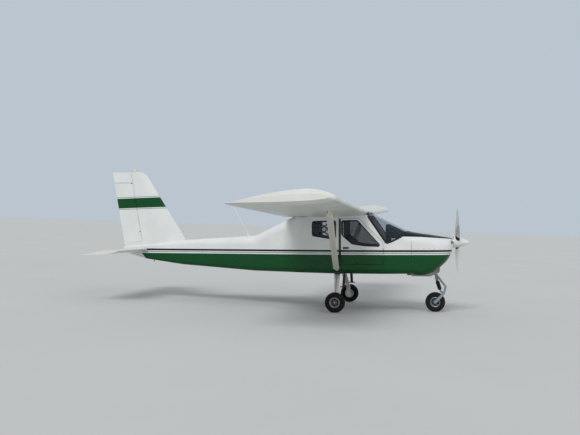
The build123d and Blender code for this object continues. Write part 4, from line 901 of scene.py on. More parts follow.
@dataclass
class Workshop:
    """Holds the node trees and runs them into plain finished pieces."""

    rows: NodeTree = field(default_factory=fastener_tree)
    circle: NodeTree = field(default_factory=bolt_circle_tree)
    screen: NodeTree = field(default_factory=screen_tree)

    def run(self, tree: NodeTree, name: str, finish: Finish, slot: str, body: str,
            inputs: dict[str, object], base: Mesh | None = None) -> Object:
        """Make one piece from a tree.

        Args:
            tree: the tree that makes it.
            name: the piece's name.
            finish: its surface finish.
            slot: the record's material slot.
            body: the CAD body it rides on.
            inputs: the tree's sizes by name.
            base: the mesh that the tree starts from, where it needs one; its piece is shaded smooth.

        Returns:
            The finished plain mesh object.
        """
        made = new_object(name, base or bpy.data.meshes.new(name))
        maker = made.modifiers.new("maker", "NODES")
        maker.node_group = tree
        sockets = {item.name: item.identifier for item in tree.interface.items_tree if item.in_out == "INPUT"}
        for key, value in (*inputs.items(), ("Finish", material(finish))):
            maker[sockets[key]] = tuple(value) if isinstance(value, Vector) else value
        made = settle(made)
        if base:
            for polygon in made.data.polygons:
                polygon.use_smooth = True
        else:
            made.data.set_sharp_from_angle(angle=math.radians(35.0))
        return hand_over(made, finish, slot, body)


@dataclass
class Fasteners:
    """Rows of rivets or screws on the airframe."""

    name: str
    finish: Finish
    slot: str
    spacing: float
    radius: float
    height: float
    rows: list[Laid] = field(default_factory=list)

    def build(self, shop: Workshop) -> None:
        """Set the heads along every row and join them in one piece."""
        points, edges, aims = [], [], []
        for places, outs in self.rows:
            base = len(points)
            points += [tuple(p) for p in places]
            edges += [(base + i, base + i + 1) for i in range(len(places) - 1)]
            aims += outs
        mesh = bpy.data.meshes.new(self.name)
        mesh.from_pydata(points, edges, [])
        aim = mesh.attributes.new("aim", "FLOAT_VECTOR", "POINT")
        for i, value in enumerate(aims):
            aim.data[i].vector = value
        shop.run(shop.rows, self.name, self.finish, self.slot, "airframe", {
            "Spacing": self.spacing, "Radius": self.radius, "Height": self.height}, mesh)


# Dressing of the CAD nodes
@dataclass
class Airframe:
    """Gives each carried-over CAD node its finish."""

    finishes: tuple[tuple[Finish, str], ...] = (
        (HULL, "side_left side_right front_deck door_left door_right cowling_upper cowling_lower tail_cone"),
        (HULL, "cabin_tub door_hinges"),
        # the duct's grey-beige is painted shade and ground bounce
        (DUCT_SHADED_GELCOAT, "cooling_duct"),
        (SPINNER_PAINT, "spinner"),
        (FIN_PAINT, "fin rudder"),
        (WING_PAINT, "wing_left wing_right flap_left flap_right aileron_left aileron_right roof_centre"),
        (WING_PAINT, "stabilator stabilator_tab"),
        (STRUT_PAINT, "struts"),
        (LEAF_PAINT, "gear_legs"),
        (LEG_PAINT, "nose_fork"),
        (BLADE_PAINT, "propeller"),
        (ACRYLIC, "windshield rear_windows"),
        (TINTED_ACRYLIC, "door_glass_left door_glass_right"),
        (BLACK_STEEL, "nose_housing nose_shock control_sticks boarding_steps cabin_frame"),
        (RIM_ALLOY, "main_rim_left main_rim_right nose_rim"),
        (TYRE_RUBBER, "main_tyre_left main_tyre_right nose_tyre"),
        (ENGINE_ALLOY, "engine"),
        (SHEET_ALLOY, "firewall"),
        (PANEL_COAT, "instrument_panel"),
        (CARPET, "rear_bulkhead"),
        (SEAT_CLOTH, "seats"),
        (EXHAUST_STEEL, "exhaust"),
        (ZINC_STEEL, "tie_down_rings"),
        (WHIP_GLASS, "antenna"),
        (LAMP_AMBER, "beacon"),
    )

    def dress(self) -> None:
        """Assign every node's material slots."""
        for finish, names in self.finishes:
            for name in names.split():
                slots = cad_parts[name].data.materials
                slots.clear()
                slots.append(material(finish))
                LOG.info("%s dressed in %s", name, finish.name)


# Wheels
@dataclass
class Wheel:
    """One wheel: its grooved tyre and the fittings of its rim, in metres."""

    name: str
    body: str
    tyre_node: str
    centre: Vector
    outboard: tuple[int, ...]
    width: float = 0.100
    shoulder: float = 0.034
    shoulder_turns: tuple[float, ...] = (0.0, 0.16, 0.32, 0.48, 0.64)
    bead: float = 0.0815
    # the sidewall, as a share of the half width and a height over the bead
    sidewall: Line = (
        (0.66, -0.003), (0.74, 0.001), (0.86, 0.006), (0.955, 0.018), (0.995, 0.034))
    bore: Point2 = (0.5, -0.004)
    groove_pitch: float = 0.0135
    groove_width: float = 0.0036
    groove_depth: float = 0.0045
    # one groove's edges, as a share of its width and of its depth
    groove: Line = ((0.5, 0.0), (0.38, 1.0), (-0.38, 1.0), (-0.5, 0.0))
    # how far the rim's edge and its web stand out from the centre line, and the turned profiles on them
    rim_half: float = 0.036
    web: float = 0.010
    lip: Line = (
        (-0.001, 0.0725), (0.0035, 0.0735), (0.006, 0.0775), (0.005, 0.0812), (0.001, 0.0812),
        (-0.001, 0.079))
    well: Line = ((0.0004, 0.0345), (0.0004, 0.0615), (0.0016, 0.0610), (0.0016, 0.0350))
    cap: Line = ((0.0055, 0.0), (0.0055, 0.0285), (0.0075, 0.0285), (0.0078, 0.0))
    # the tie bolts' nuts, their threaded ends and the hub cover's screws, with how far out they stand
    nuts: HeadCircle = HeadCircle(6, 0.048, 0.0062, 0.006)
    studs: HeadCircle = HeadCircle(6, 0.048, 0.003, 0.006, sides=10)
    screws: HeadCircle = HeadCircle(4, 0.022, 0.0028, 0.002, sides=10)
    nut_out: float = 0.0035
    stud_out: float = 0.0075
    screw_out: float = 0.0082
    # the valve's stem, as out and up from its root, and its cap
    valve_root: Point2 = (0.016, 0.068)
    valve: Line = ((0.0, 0.0), (0.010, -0.001), (0.022, -0.006))
    valve_radius: float = 0.0042
    valve_cap: Point2 = (0.010, 0.0052)

    def crown(self, across: float) -> float:
        """The tread's radius at a distance from the centre line."""
        over = max(0.0, abs(across) - (self.width / 2 - self.shoulder))
        return self.centre.z - self.shoulder + math.sqrt(max(0.0, self.shoulder ** 2 - over ** 2))

    def tyre(self) -> None:
        """The carcass with its bead, sidewalls and circumferential grooves."""
        half, radius = self.width / 2, self.centre.z
        side = [(half * share, self.bead + up) for share, up in self.sidewall]
        side += [(half - self.shoulder * (1 - math.cos(turn)), radius - self.shoulder * (1 - math.sin(turn)))
                 for turn in self.shoulder_turns]
        tread: list[Point2] = []
        for k in (2, 1, 0, -1, -2):
            middle = k * self.groove_pitch
            for step, dip in self.groove:
                place = middle + step * self.groove_width
                tread.append((place, self.crown(place) - dip * self.groove_depth))
            land = middle - self.groove_pitch / 2
            tread.append((land, self.crown(land)))
        share, up = self.bore
        inner = [(-half * share, self.bead + up), (half * share, self.bead + up)]
        profile = side + tread[:-1] + [(-along, out) for along, out in side[::-1]] + inner
        shape = lathe(profile, self.centre, LEFT, 96)
        made = piece(f"{self.name}_tyre", shape, TYRE_RUBBER, "tyre_rubber", self.body, smooth=35.0)
        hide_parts(self.tyre_node)

    def turned(self, label: str, face: float, profile: Line, steps: int, finish: Finish, slot: str) -> None:
        """One piece with a turned shape on each outer face.

        Args:
            label: what it is called after the wheel's name.
            face: how far out the profile's zero is.
            profile: (along, radius) pairs.
            steps: how many facets go round.
            finish: its surface finish.
            slot: the record's material slot.
        """
        shifted = [(face + along, radius) for along, radius in profile]
        shape = joined(lathe(shifted, self.centre, LEFT * out, steps) for out in self.outboard)
        piece(f"{self.name}_{label}", shape, finish, slot, self.body)

    def fittings(self, shop: Workshop) -> None:
        """Flange lip, painted web, hub cover, tie bolts and screws on each outer face, and the valve."""
        self.turned("rim_lips", self.rim_half, self.lip, 64, RIM_ALLOY, "wheel_alloy")
        self.turned("web_paint", self.web, self.well, 48, BLACK_STEEL, "black_steel")
        self.turned("hub_covers", self.rim_half, self.cap, 32, BLACK_STEEL, "black_steel")
        for index, out in enumerate(self.outboard):
            for label, reach, sizes in (("tie_bolts", self.web + self.nut_out, self.nuts),
                                        ("tie_studs", self.web + self.stud_out, self.studs),
                                        ("cap_screws", self.rim_half + self.screw_out, self.screws)):
                inputs = sizes.inputs(self.centre + LEFT * (out * reach), LEFT * out)
                name = f"{self.name}_{label}_{index}"
                shop.run(shop.circle, name, ZINC_STEEL, "hinge_steel", self.body, inputs)
        out = LEFT * self.outboard[0]
        root = self.centre + UPWARD * self.valve_root[1] + out * self.valve_root[0]
        stem = [root + out * across + UPWARD * up for across, up in self.valve]
        length, radius = self.valve_cap
        cap = [stem[-1], stem[-1] + (stem[-1] - stem[-2]).normalized() * length]
        shape = joined([tube(stem, FORWARD, ring(self.valve_radius, 10)),
                        tube(cap, FORWARD, ring(radius, 10))])
        piece(f"{self.name}_valve", shape, SEAL_RUBBER, "tyre_rubber", self.body)

    def build(self, shop: Workshop) -> None:
        """Make every piece of the wheel."""
        self.tyre()
        self.fittings(shop)


# Glazing
@dataclass
class Glazing:
    """Rubber gaskets round the windshield and the side windows."""

    width: float = 0.015
    height: float = 0.004
    # how far out of the opening the gasket lies, as a share of its width
    grow: float = 0.42
    rear_window: tuple[Point3, ...] = (
        (-0.432, 1.236, 0.026), (-0.150, 1.192, 0.030), (-0.044, 1.192, 0.026), (-0.044, 1.474, 0.026),
        (-0.432, 1.462, 0.026))
    door_window: tuple[Point3, ...] = (
        (0.068, 1.250, 0.070), (0.236, 1.102, 0.070), (0.440, 1.072, 0.020), (0.702, 1.062, 0.016),
        (0.322, 1.480, 0.030), (0.068, 1.476, 0.024))
    pillar: Line = (
        (0.448, 1.624), (0.500, 1.548), (0.560, 1.460), (0.640, 1.343), (0.720, 1.226), (0.790, 1.123),
        (0.812, 1.112), (0.850, 1.126), (0.890, 1.140), (0.950, 1.170), (1.000, 1.196), (1.040, 1.216),
        (1.075, 1.243), (1.100, 1.271), (1.112, 1.286))
    pillar_width: float = 0.030
    deck: Point2 = (1.128, 0.300)
    deck_shares: tuple[float, ...] = (1.0, 0.66, 0.33, 0.0, -0.33, -0.66, -1.0)
    deck_from: float = 1.6
    top: Point2 = (0.484, 0.470)
    top_shares: tuple[float, ...] = (1.0, 0.75, 0.5, 0.25, 0.0, -0.25, -0.5, -0.75, -1.0)
    top_from: float = 1.9
    top_strip: Point2 = (0.018, 0.003)
    # how far forward the top trim leans for each metre up
    top_lean: float = 0.4

    def windows(self) -> None:
        """The closed gaskets of the four side windows."""
        for side, label in SIDES:
            door = f"door_{label}"
            for kind, outline, body, node in (("rear", self.rear_window, "airframe", f"side_{label}"),
                                              ("door", self.door_window, door, door)):
                edge = grown(arc_corners(outline, 0.05), self.width * self.grow)
                places, outs = Skin((node,)).from_side(edge, side)
                shape = sweep(places, outs, strip(self.width, self.height), closed=True)
                piece(f"{kind}_window_gasket_{label}", shape, SEAL_RUBBER, "panel_black", body)

    def windshield(self) -> None:
        """The long gasket down one pillar, across the deck and up the other, and the trim along the top."""
        skin = Skin(("windshield", "front_deck", "side_left", "side_right", "cowling_upper"))
        left, left_outs = skin.from_side(self.pillar, 1)
        right, right_outs = skin.from_side(self.pillar, -1)
        x, half = self.deck
        across, across_outs = skin.plan([(x, half * share) for share in self.deck_shares], self.deck_from)
        shape = sweep(left + across + right[::-1], left_outs + across_outs + right_outs[::-1],
                      strip(self.pillar_width, self.height))
        piece("windshield_gasket", shape, SEAL_RUBBER, "panel_black")
        x, half = self.top
        bow, _ = Skin(("windshield",)).plan([(x, half * share) for share in self.top_shares], self.top_from)
        shape = tube(bow, FORWARD * self.top_lean + UPWARD, strip(*self.top_strip))
        piece("windshield_top_trim", shape, SEAL_RUBBER, "panel_black")

    def build(self) -> None:
        """Make every gasket."""
        self.windows()
        self.windshield()


# Doors
@dataclass
class DoorTrim:
    """Handle, edge seal and painted strut shadow of one door."""

    side: int
    label: str
    handle: Point2 = (0.125, 1.030)
    plate: tuple[Point3, ...] = (
        (-0.045, -0.018, 0.012), (0.055, -0.018, 0.012), (0.055, 0.018, 0.012), (-0.045, 0.018, 0.012))
    plate_sunk: float = 0.001
    plate_proud: float = 0.0022
    # the levers as forward and out from the handle's place, and their oval sections
    lever: Line = (
        (0.046, 0.002), (0.042, 0.010), (0.020, 0.0125), (-0.015, 0.0125), (-0.036, 0.011))
    latch: Line = (
        (0.040, -0.022), (0.038, -0.034), (0.000, -0.040), (-0.040, -0.040), (-0.055, -0.034))
    lever_half: Point2 = (0.006, 0.003)
    latch_half: Point2 = (0.006, 0.0048)
    seal: tuple[Point3, ...] = (
        (0.013, 0.759, 0.073), (0.755, 0.759, 0.004), (0.755, 1.1135, 0.010), (0.3475, 1.521, 0.010),
        (0.013, 1.521, 0.004))
    seal_y: float = 0.56
    seal_sunk: float = 0.009
    seal_radius: float = 0.0028
    # where the painted strut shadow runs down the door, and its strip
    shadow_x: float = 0.034
    shadow_low: float = 0.850
    shadow_high: float = 1.510
    shadow_strip: Point2 = (0.030, 0.003)
    shadow_steps: int = 14

    @property
    def door(self) -> str:
        """The door's node and body."""
        return f"door_{self.label}"

    @property
    def out(self) -> Vector:
        """The outward direction."""
        return LEFT * self.side

    def pull(self) -> None:
        """The recess plate and the pull lever outside, and the latch inside."""
        (spot,), _ = Skin((self.door,)).from_side([self.handle], self.side)
        base = [spot + FORWARD * a + UPWARD * b for a, b in arc_corners(self.plate, 0.02)]
        points = [p + self.out * rise for rise in (-self.plate_sunk, self.plate_proud) for p in base]
        plate = (points, wall_faces(2, len(base)))
        piece(f"door_plate_{self.label}", plate, TRIM_PLASTIC, "panel_black", self.door)
        levers = joined(tube([spot + FORWARD * a + self.out * b for a, b in path], self.out, oval(*half))
                        for path, half in ((self.lever, self.lever_half), (self.latch, self.latch_half)))
        piece(f"door_lever_{self.label}", levers, ZINC_STEEL, "hinge_steel", self.door)

    def edge_seal(self) -> None:
        """The bulb seal in the gap round the doorway."""
        skin = Skin((f"side_{self.label}", self.door))
        places = []
        for x, z in arc_corners(self.seal, 0.06):
            surface = skin.near(at(x, self.side * self.seal_y, z))
            places.append(at(x, surface.y - self.side * self.seal_sunk, z))
        shape = sweep(places, [self.out] * len(places), ring(self.seal_radius, 8), closed=True)
        piece(f"door_seal_{self.label}", shape, SEAL_RUBBER, "panel_black")

    def strut_shadow(self) -> None:
        """A wide black strip along the door's rear edge, painted as the strut's shadow."""
        step = (self.shadow_high - self.shadow_low) / self.shadow_steps
        line = [(self.shadow_x, self.shadow_low + step * k) for k in range(self.shadow_steps + 1)]
        places, outs = Skin((self.door,)).from_side(line, self.side)
        shape = sweep(places, outs, strip(*self.shadow_strip))
        piece(f"door_strut_shadow_{self.label}", shape, SEAL_RUBBER, "panel_black", self.door)

    def build(self) -> None:
        """Make the door's trim and its painted strut shadow."""
        self.pull()
        self.edge_seal()
        self.strut_shadow()


# Cowling
@dataclass
class CowlTrim:
    """Seams, fasteners, intake screens and the oil door of the cowling."""

    firewall_x: float = 1.200
    seam_strip: Point2 = (0.0035, 0.0012)
    split_z: float = 1.002
    turn_rise: float = 0.022
    turn_step: float = 0.03
    turn_count: int = 20
    screw_x: float = 1.218
    seam_reach: float = 1.62
    screw_reach: float = 1.6
    oil_door: tuple[float, float, float, float] = (1.390, 1.520, 0.100, 0.230)
    oil_door_radius: float = 0.015
    oil_door_strip: Point2 = (0.003, 0.001)
    catch_back: float = 0.014
    catch: Line = ((-0.002, 0.0), (-0.002, 0.009), (0.0015, 0.008), (0.0022, 0.0))
    over: float = 1.6
    intake_y: float = 0.150
    intake_z: float = 1.104
    screen_x: float = 1.786
    backing_x: Point2 = (1.772, 1.776)
    backing_half: Point2 = (0.07, 0.05)

    def seams(self) -> None:
        """The gap between cowling and hull, and the oil door's edge."""
        skin = Skin(("cowling_upper", "cowling_lower", "front_deck", "side_left", "side_right", "cabin_tub"))
        places, outs = skin.hoop(self.firewall_x + 0.001, self.seam_reach, 60)
        gap = sweep(places, outs, strip(*self.seam_strip))
        x0, x1, y0, y1 = self.oil_door
        corners = [(x, y, self.oil_door_radius) for x, y in ((x0, y0), (x1, y0), (x1, y1), (x0, y1))]
        places, outs = skin.plan(arc_corners(corners), self.over)
        edge = sweep(places, outs, strip(*self.oil_door_strip), closed=True)
        piece("cowl_seams", joined([gap, edge]), SEAL_RUBBER, "panel_black")

    def fasteners(self, shop: Workshop) -> None:
        """Quarter-turn heads along the split line, screws round the rear edge and the oil door's catch."""
        skin = Skin(("cowling_upper", "cowling_lower"))
        first = self.firewall_x + self.turn_step
        line = [(first + self.turn_step * k, self.split_z + self.turn_rise) for k in range(self.turn_count)]
        turns = [skin.from_side(line, side) for side, _ in SIDES]
        Fasteners("cowl_quarter_turns", ZINC_STEEL, "hinge_steel", 0.085, 0.0055, 0.0016, turns).build(shop)
        screws = [skin.hoop(self.screw_x, self.screw_reach, 60)]
        Fasteners("cowl_edge_screws", ZINC_STEEL, "hinge_steel", 0.07, 0.004, 0.0012, screws).build(shop)
        _, x1, y0, y1 = self.oil_door
        (spot,), (out,) = skin.plan([(x1 - self.catch_back, (y0 + y1) / 2)], self.over)
        piece("oil_door_catch", lathe(self.catch, spot, out, 20), ZINC_STEEL, "hinge_steel")

    def screens(self, shop: Workshop) -> None:
        """Wire screens behind the two air intakes, with their dark backing."""
        half_y, half_z = self.backing_half
        for index, y in enumerate((self.intake_y, -self.intake_y)):
            shop.run(shop.screen, f"intake_screen_{index}", ZINC_STEEL, "hinge_steel", "airframe", {
                "Width": 0.150, "Height": 0.100, "Wire Radius": 0.0011, "Wires Across": 19, "Wires Up": 13,
                "Centre": at(self.screen_x, y, self.intake_z), "Axis": FORWARD})
            heights = (self.intake_z - half_z, self.intake_z + half_z)
            backing = block(self.backing_x, (y - half_y, y + half_y), heights)
            piece(f"intake_backing_{index}", backing, BLACK_STEEL, "black_steel")

    def build(self, shop: Workshop) -> None:
        """Make the cowling's trim."""
        self.seams()
        self.fasteners(shop)
        self.screens(shop)


# Propeller
@dataclass
class PropellerTrim:
    """Root boots and the spinner's backing plate."""

    centre_x: float = 1.950
    back_x: float = 1.884
    axis_z: float = 1.118
    rest_turn: float = math.radians(50.0)
    # the boot's radius from the hub, half chord, half thickness and pitch in degrees at each station
    boot: tuple[tuple[float, float, float, float], ...] = (
        (0.070, 0.0370, 0.0270, 50.0), (0.096, 0.0410, 0.0260, 48.6), (0.124, 0.0460, 0.0235, 46.0),
        (0.140, 0.0480, 0.0205, 44.5))
    boot_steps: int = 24
    plate: Line = (
        (-0.004, 0.0), (-0.004, 0.089), (-0.002, 0.0925), (0.005, 0.0925), (0.005, 0.0))

    def boots(self) -> None:
        """A dark rubber boot round each blade's root, twisted with it."""
        centre = at(self.centre_x, 0, self.axis_z)
        parts = []
        for turn in (self.rest_turn, self.rest_turn + math.pi):
            radial = UPWARD * math.cos(turn) - LEFT * math.sin(turn)
            running = FORWARD.cross(radial)
            points: list[Vector] = []
            for radius, half_chord, half_thick, pitch in self.boot:
                lead = running * math.cos(math.radians(pitch)) + FORWARD * math.sin(math.radians(pitch))
                thick = radial.cross(lead)
                hub, section = centre + radial * radius, oval(half_chord, half_thick, self.boot_steps)
                points += [hub + lead * a + thick * b for a, b in section]
            parts.append((points, wall_faces(len(self.boot), self.boot_steps)))
        piece("blade_root_boots", joined(parts), SEAL_RUBBER, "panel_black", "propeller")

    def build(self) -> None:
        """Make the propeller's trim."""
        self.boots()
        back = lathe(self.plate, at(self.back_x, 0, self.axis_z), FORWARD, 64)
        piece("spinner_backplate", back, SHEET_ALLOY, "hub_alloy", "propeller")


# Wing and tail skins
@dataclass
class SkinDetail:
    """Rib tapes and rivet rows on the flying surfaces, and rivet rows on the tail cone."""

    ribs: tuple[float, ...] = (0.62, 0.98, 1.34, 1.70, 2.06, 2.42, 2.78, 3.14, 3.50, 3.86, 4.14)
    wing_rays: tuple[tuple[float, Vector], ...] = ((2.2, -UPWARD), (0.9, UPWARD))
    tape: Point2 = (0.026, 0.0009)
    # the first station, the step and the count of each chordwise run
    tape_run: tuple[float, float, int] = (0.455, 0.035, 28)
    rivet_run: tuple[float, float, int] = (0.43, 0.045, 9)
    spar_rows: tuple[float, float] = (0.070, 0.045)
    spar_run: tuple[float, float, int] = (0.60, 0.09, 40)
    fuel_cap: Point2 = (0.16, 0.86)
    cap: Line = (
        (-0.004, 0.0), (-0.004, 0.036), (0.0015, 0.036), (0.0020, 0.028), (0.006, 0.026), (0.007, 0.022),
        (0.007, 0.0))
    cone_front: float = -0.83
    cone_step: float = 0.09
    cone_parts: int = 29
    # the front and rear height of each row along the cone, and the stations of the rows round it
    cone_rows: Line = ((0.80, 0.895), (1.02, 1.00), (1.16, 1.07))
    cone_hoops: tuple[float, ...] = (-0.83, -1.15, -1.48, -1.85, -2.25, -2.62)
    hoop_reach: float = 1.7
    tail_ribs: tuple[float, ...] = (0.22, 0.48, 0.74, 1.00, 1.26)
    tail_rays: tuple[tuple[float, Vector], ...] = ((1.4, -UPWARD), (0.6, UPWARD))
    tail_tape: Point2 = (0.020, 0.0008)
    tail_front: float = -3.545
    # the tapes end sooner over the trim tab
    tail_end: float = -4.10
    tab_front: float = -3.99
    tab_half: float = 0.5
    tail_parts: int = 14

    def wing(self, shop: Workshop, side: int, label: str) -> None:
        """Tapes over one wing's ribs, rivets along its spar and nose skin, and its fuel cap.

        Args:
            shop: makes the rivets.
            side: 1 for the left wing, -1 for the right.
            label: the wing's name.
        """
        skin = Skin((f"wing_{label}",))
        rivets = Fasteners(f"wing_rivets_{label}", RIVET_PAINT, "painted_skin", 0.045, 0.0028, 0.0012)
        tapes = []
        for y in self.ribs:
            for height, aim in self.wing_rays:
                (front, step, count), (nose, gap, heads) = self.tape_run, self.rivet_run
                places, outs = skin.plan([(front - step * k, side * y) for k in range(count)], height, aim)
                tapes.append(sweep(places, outs, strip(*self.tape)))
                rivets.rows.append(skin.plan([(nose - gap * k, side * y) for k in range(heads)], height, aim))
        root, step, count = self.spar_run
        for height, aim in self.wing_rays:
            for x in self.spar_rows:
                row = [(x, side * (root + step * k)) for k in range(count)]
                rivets.rows.append(skin.plan(row, height, aim))
        piece(f"rib_tapes_{label}", joined(tapes), TAPE_DOPE, "painted_skin")
        rivets.build(shop)
        x, y = self.fuel_cap
        (spot,), (out,) = skin.plan([(x, side * y)], self.wing_rays[0][0])
        piece(f"fuel_cap_{label}", lathe(self.cap, spot, out, 40), SHEET_ALLOY, "bare_sheet")

    def tail_cone(self, shop: Workshop) -> None:
        """Rows along and round the tail cone."""
        skin = Skin(("tail_cone",))
        rivets = Fasteners("tail_cone_rivets", HULL, "painted_shell", 0.05, 0.0025, 0.0011)
        for side, _ in SIDES:
            for low, high in self.cone_rows:
                line = [(self.cone_front - self.cone_step * k, low + (high - low) * k / self.cone_parts)
                        for k in range(self.cone_parts + 1)]
                rivets.rows.append(skin.from_side(line, side))
        rivets.rows += [skin.hoop(x, self.hoop_reach, 50) for x in self.cone_hoops]
        rivets.build(shop)

    def tailplane(self, side: int, label: str) -> None:
        """Rib tapes on one half of the tailplane.

        Args:
            side: 1 for the left half, -1 for the right.
            label: the half's name.
        """
        skin = Skin(("stabilator",))
        tapes = []
        for y in self.tail_ribs:
            front, parts = self.tail_front, self.tail_parts
            chord = (self.tab_front if y < self.tab_half else self.tail_end) - front
            run = [(front + chord * k / parts, side * y) for k in range(parts + 1)]
            for height, aim in self.tail_rays:
                places, outs = skin.plan(run, height, aim)
                tapes.append(sweep(places, outs, strip(*self.tail_tape)))
        piece(f"tailplane_tapes_{label}", joined(tapes), TAPE_DOPE, "painted_tail", "stabilator")

    def build(self, shop: Workshop) -> None:
        """Make the skins' detail."""
        for side, label in SIDES:
            self.wing(shop, side, label)
        self.tail_cone(shop)
        for side, label in SIDES:
            self.tailplane(side, label)


# Struts, steps, undercarriage and aerial
@dataclass
class Fittings:
    """Strut cuffs, step sleeves and grips, bolts and rubbers of the undercarriage, and the aerial's foot."""

    strut_foot: Point3 = (-0.026, 0.566, 0.672)
    strut_top: Point3 = (0.119, 2.350, 1.620)
    cuff: Point2 = (0.0225, 0.0505)
    # how far the cuffs start from the strut's foot and from its top, and their rounded ends along them
    cuff_foot: float = 0.045
    cuff_top: float = 0.10
    cuff_stations: tuple[float, ...] = (0.0, 0.004, 0.056, 0.060)
    step_x: float = 0.096
    sleeve: Point2 = (0.013, 0.024)
    # the step leg's lower and upper ends as y and z
    sleeve_ends: tuple[Point2, Point2] = ((0.560, 0.393), (0.4835, 0.576))
    sleeve_shares: tuple[float, ...] = (0.0, 0.02, 0.5, 0.98, 1.0)
    grip_y: Point2 = (0.545, 0.599)
    grip_z: Point2 = (0.3915, 0.3945)
    grip_pitch: float = 0.014
    grip_half: float = 0.003
    grip_taper: float = 0.001
    shock_top: Point2 = (1.603, 0.486)
    shock_foot: Point2 = (1.668, 0.285)
    shock_y: float = 0.0152
    # the rubber stack: where it starts and ends along the shock, its bore, and one rubber's bulge
    stack: Point2 = (0.034, 0.170)
    stack_bore: float = 0.019
    stack_radius: float = 0.0265
    rubber_first: float = 0.0345
    rubber_pitch: float = 0.0225
    rubber_count: int = 6
    rubber: Line = (
        (0.0015, 0.0), (0.002, 0.004), (0.006, 0.0075), (0.0115, 0.0085), (0.017, 0.0075), (0.021, 0.004),
        (0.0215, 0.0))
    clamp_x: Point2 = (-0.063, -0.007)
    clamp_y: Point2 = (0.16, 0.30)
    clamp_from: float = 0.3
    axle_z: float = 0.163
    caliper_y: float = 0.866
    caliper_rises: Point2 = (0.052, 0.066)
    caliper_half: float = 0.0205
    # the brake line behind the axle: x, y and z of its points, drawn down on to the leaf
    brake_line: tuple[Point3, ...] = (
        (-0.012, 0.850, 0.242), (-0.014, 0.838, 0.275), (-0.020, 0.800, 0.340), (-0.030, 0.700, 0.420),
        (-0.044, 0.560, 0.500), (-0.050, 0.500, 0.535), (-0.052, 0.450, 0.560))
    brake_line_radius: float = 0.0032
    brake_line_off: float = 0.0035
    aerial_foot: Point3 = (-1.655, 0.0, 1.205)
    whip: tuple[Point3, Point3] = ((-1.655, 0.0, 1.218), (-1.937, 0.0, 1.734))
    foot: Line = (
        (0.0, 0.0), (0.0, 0.026), (0.006, 0.025), (0.020, 0.014), (0.050, 0.008), (0.058, 0.0))

    def cuffs(self) -> None:
        """An oval collar at each end of the struts."""
        foot, top = at(*self.strut_foot), at(*self.strut_top)
        along = (top - foot).normalized()
        chordwise = (FORWARD - along * FORWARD.dot(along)).normalized()
        parts = []
        for start in (self.cuff_foot, (top - foot).length - self.cuff_top):
            path = [foot + along * (start + station) for station in self.cuff_stations]
            parts.append(pair(tube(path, chordwise, oval(*self.cuff, 28))))
        piece("strut_cuffs", joined(parts), STRUT_PAINT, "strut_tube")

    def step_legs(self) -> None:
        """The moulded sleeve round each boarding step's leg."""
        low, high = (at(self.step_x, *end) for end in self.sleeve_ends)
        path = [low + (high - low) * share for share in self.sleeve_shares]
        piece("step_sleeves", pair(tube(path, FORWARD, oval(*self.sleeve, 24))), BLACK_STEEL, "black_steel")

    def bolt(self, spot: Vector, axis: Vector, radius: float, height: float) -> MeshData:
        """A hexagon head with its washer.

        Args:
            spot: where its washer lies.
            axis: the way it faces.
            radius: the head's radius at its corners.
            height: the head's height.

        Returns:
            The bolt's points and faces.
        """
        wide, thick, top = radius * 1.35, 0.0018, height + 0.0008
        washer = lathe([(0.0, 0.0), (0.0, wide), (thick, wide), (thick, 0.0)], spot, axis, 24)
        head = [(thick, 0.0), (thick, radius), (height, radius), (top, radius * 0.86), (top, 0.0)]
        return joined([washer, lathe(head, spot, axis, 6)])

    def shock(self) -> None:
        """Bolts and rubber rings of the nose shock."""
        bolts = []
        for (x, z), radius, height in ((self.shock_top, 0.009, 0.007), (self.shock_foot, 0.008, 0.006)):
            bolts.append(self.bolt(at(x, self.shock_y, z), LEFT, radius, height))
            bolts.append(self.bolt(at(x, -self.shock_y, z), -LEFT, radius, height))
        piece("shock_bolts", joined(bolts), ZINC_STEEL, "hinge_steel", "nose_leg")
        (x0, z0), (x1, z1) = self.shock_top, self.shock_foot
        top, foot = at(x0, 0.0, z0), at(x1, 0.0, z1)
        start, end = self.stack
        profile: list[Point2] = [(start, self.stack_bore), (start, self.stack_radius)]
        for k in range(self.rubber_count):
            first = self.rubber_first + self.rubber_pitch * k
            profile += [(first + along, self.stack_radius + out) for along, out in self.rubber]
        profile += [(end, self.stack_radius), (end, self.stack_bore)]
        piece("shock_rubbers", lathe(profile, top, foot - top, 48), SEAL_RUBBER, "tyre_rubber", "nose_leg")

    def leaves(self) -> None:
        """Clamp and caliper bolts of the spring leaves, and the brake lines behind them."""
        skin = Skin(("gear_legs",))
        bolts, lines = [], []
        for side, _ in SIDES:
            corners = [(x, side * y) for x in self.clamp_x for y in self.clamp_y]
            spots, _ = skin.plan(corners, self.clamp_from, UPWARD)
            bolts += [self.bolt(spot, -UPWARD, 0.010, 0.008) for spot in spots]
            for rise in self.caliper_rises:
                for way in (-1, 1):
                    x = AXLE_X + way * self.caliper_half
                    spot = Vector((x, side * self.caliper_y, self.axle_z + rise))
                    bolts.append(self.bolt(spot, Vector((way, 0, 0)), 0.0045, 0.004))
            first, *rest = (Vector((AXLE_X + x, side * y, z)) for x, y, z in self.brake_line)
            path = [first]
            for point in rest:
                surface = skin.near(point)
                path.append(surface + (point - surface).normalized() * self.brake_line_off)
            lines.append(tube(path, LEFT * side + UPWARD, ring(self.brake_line_radius, 8)))
        piece("leaf_bolts", joined(bolts), ZINC_STEEL, "hinge_steel")
        piece("brake_lines", joined(lines), BLACK_STEEL, "black_steel")

    def aerial(self) -> None:
        """The whip's moulded foot."""
        low, high = self.whip
        cone = lathe(self.foot, at(*self.aerial_foot), at(*high) - at(*low), 32)
        piece("aerial_foot", cone, SPINNER_PAINT, "painted_shell")

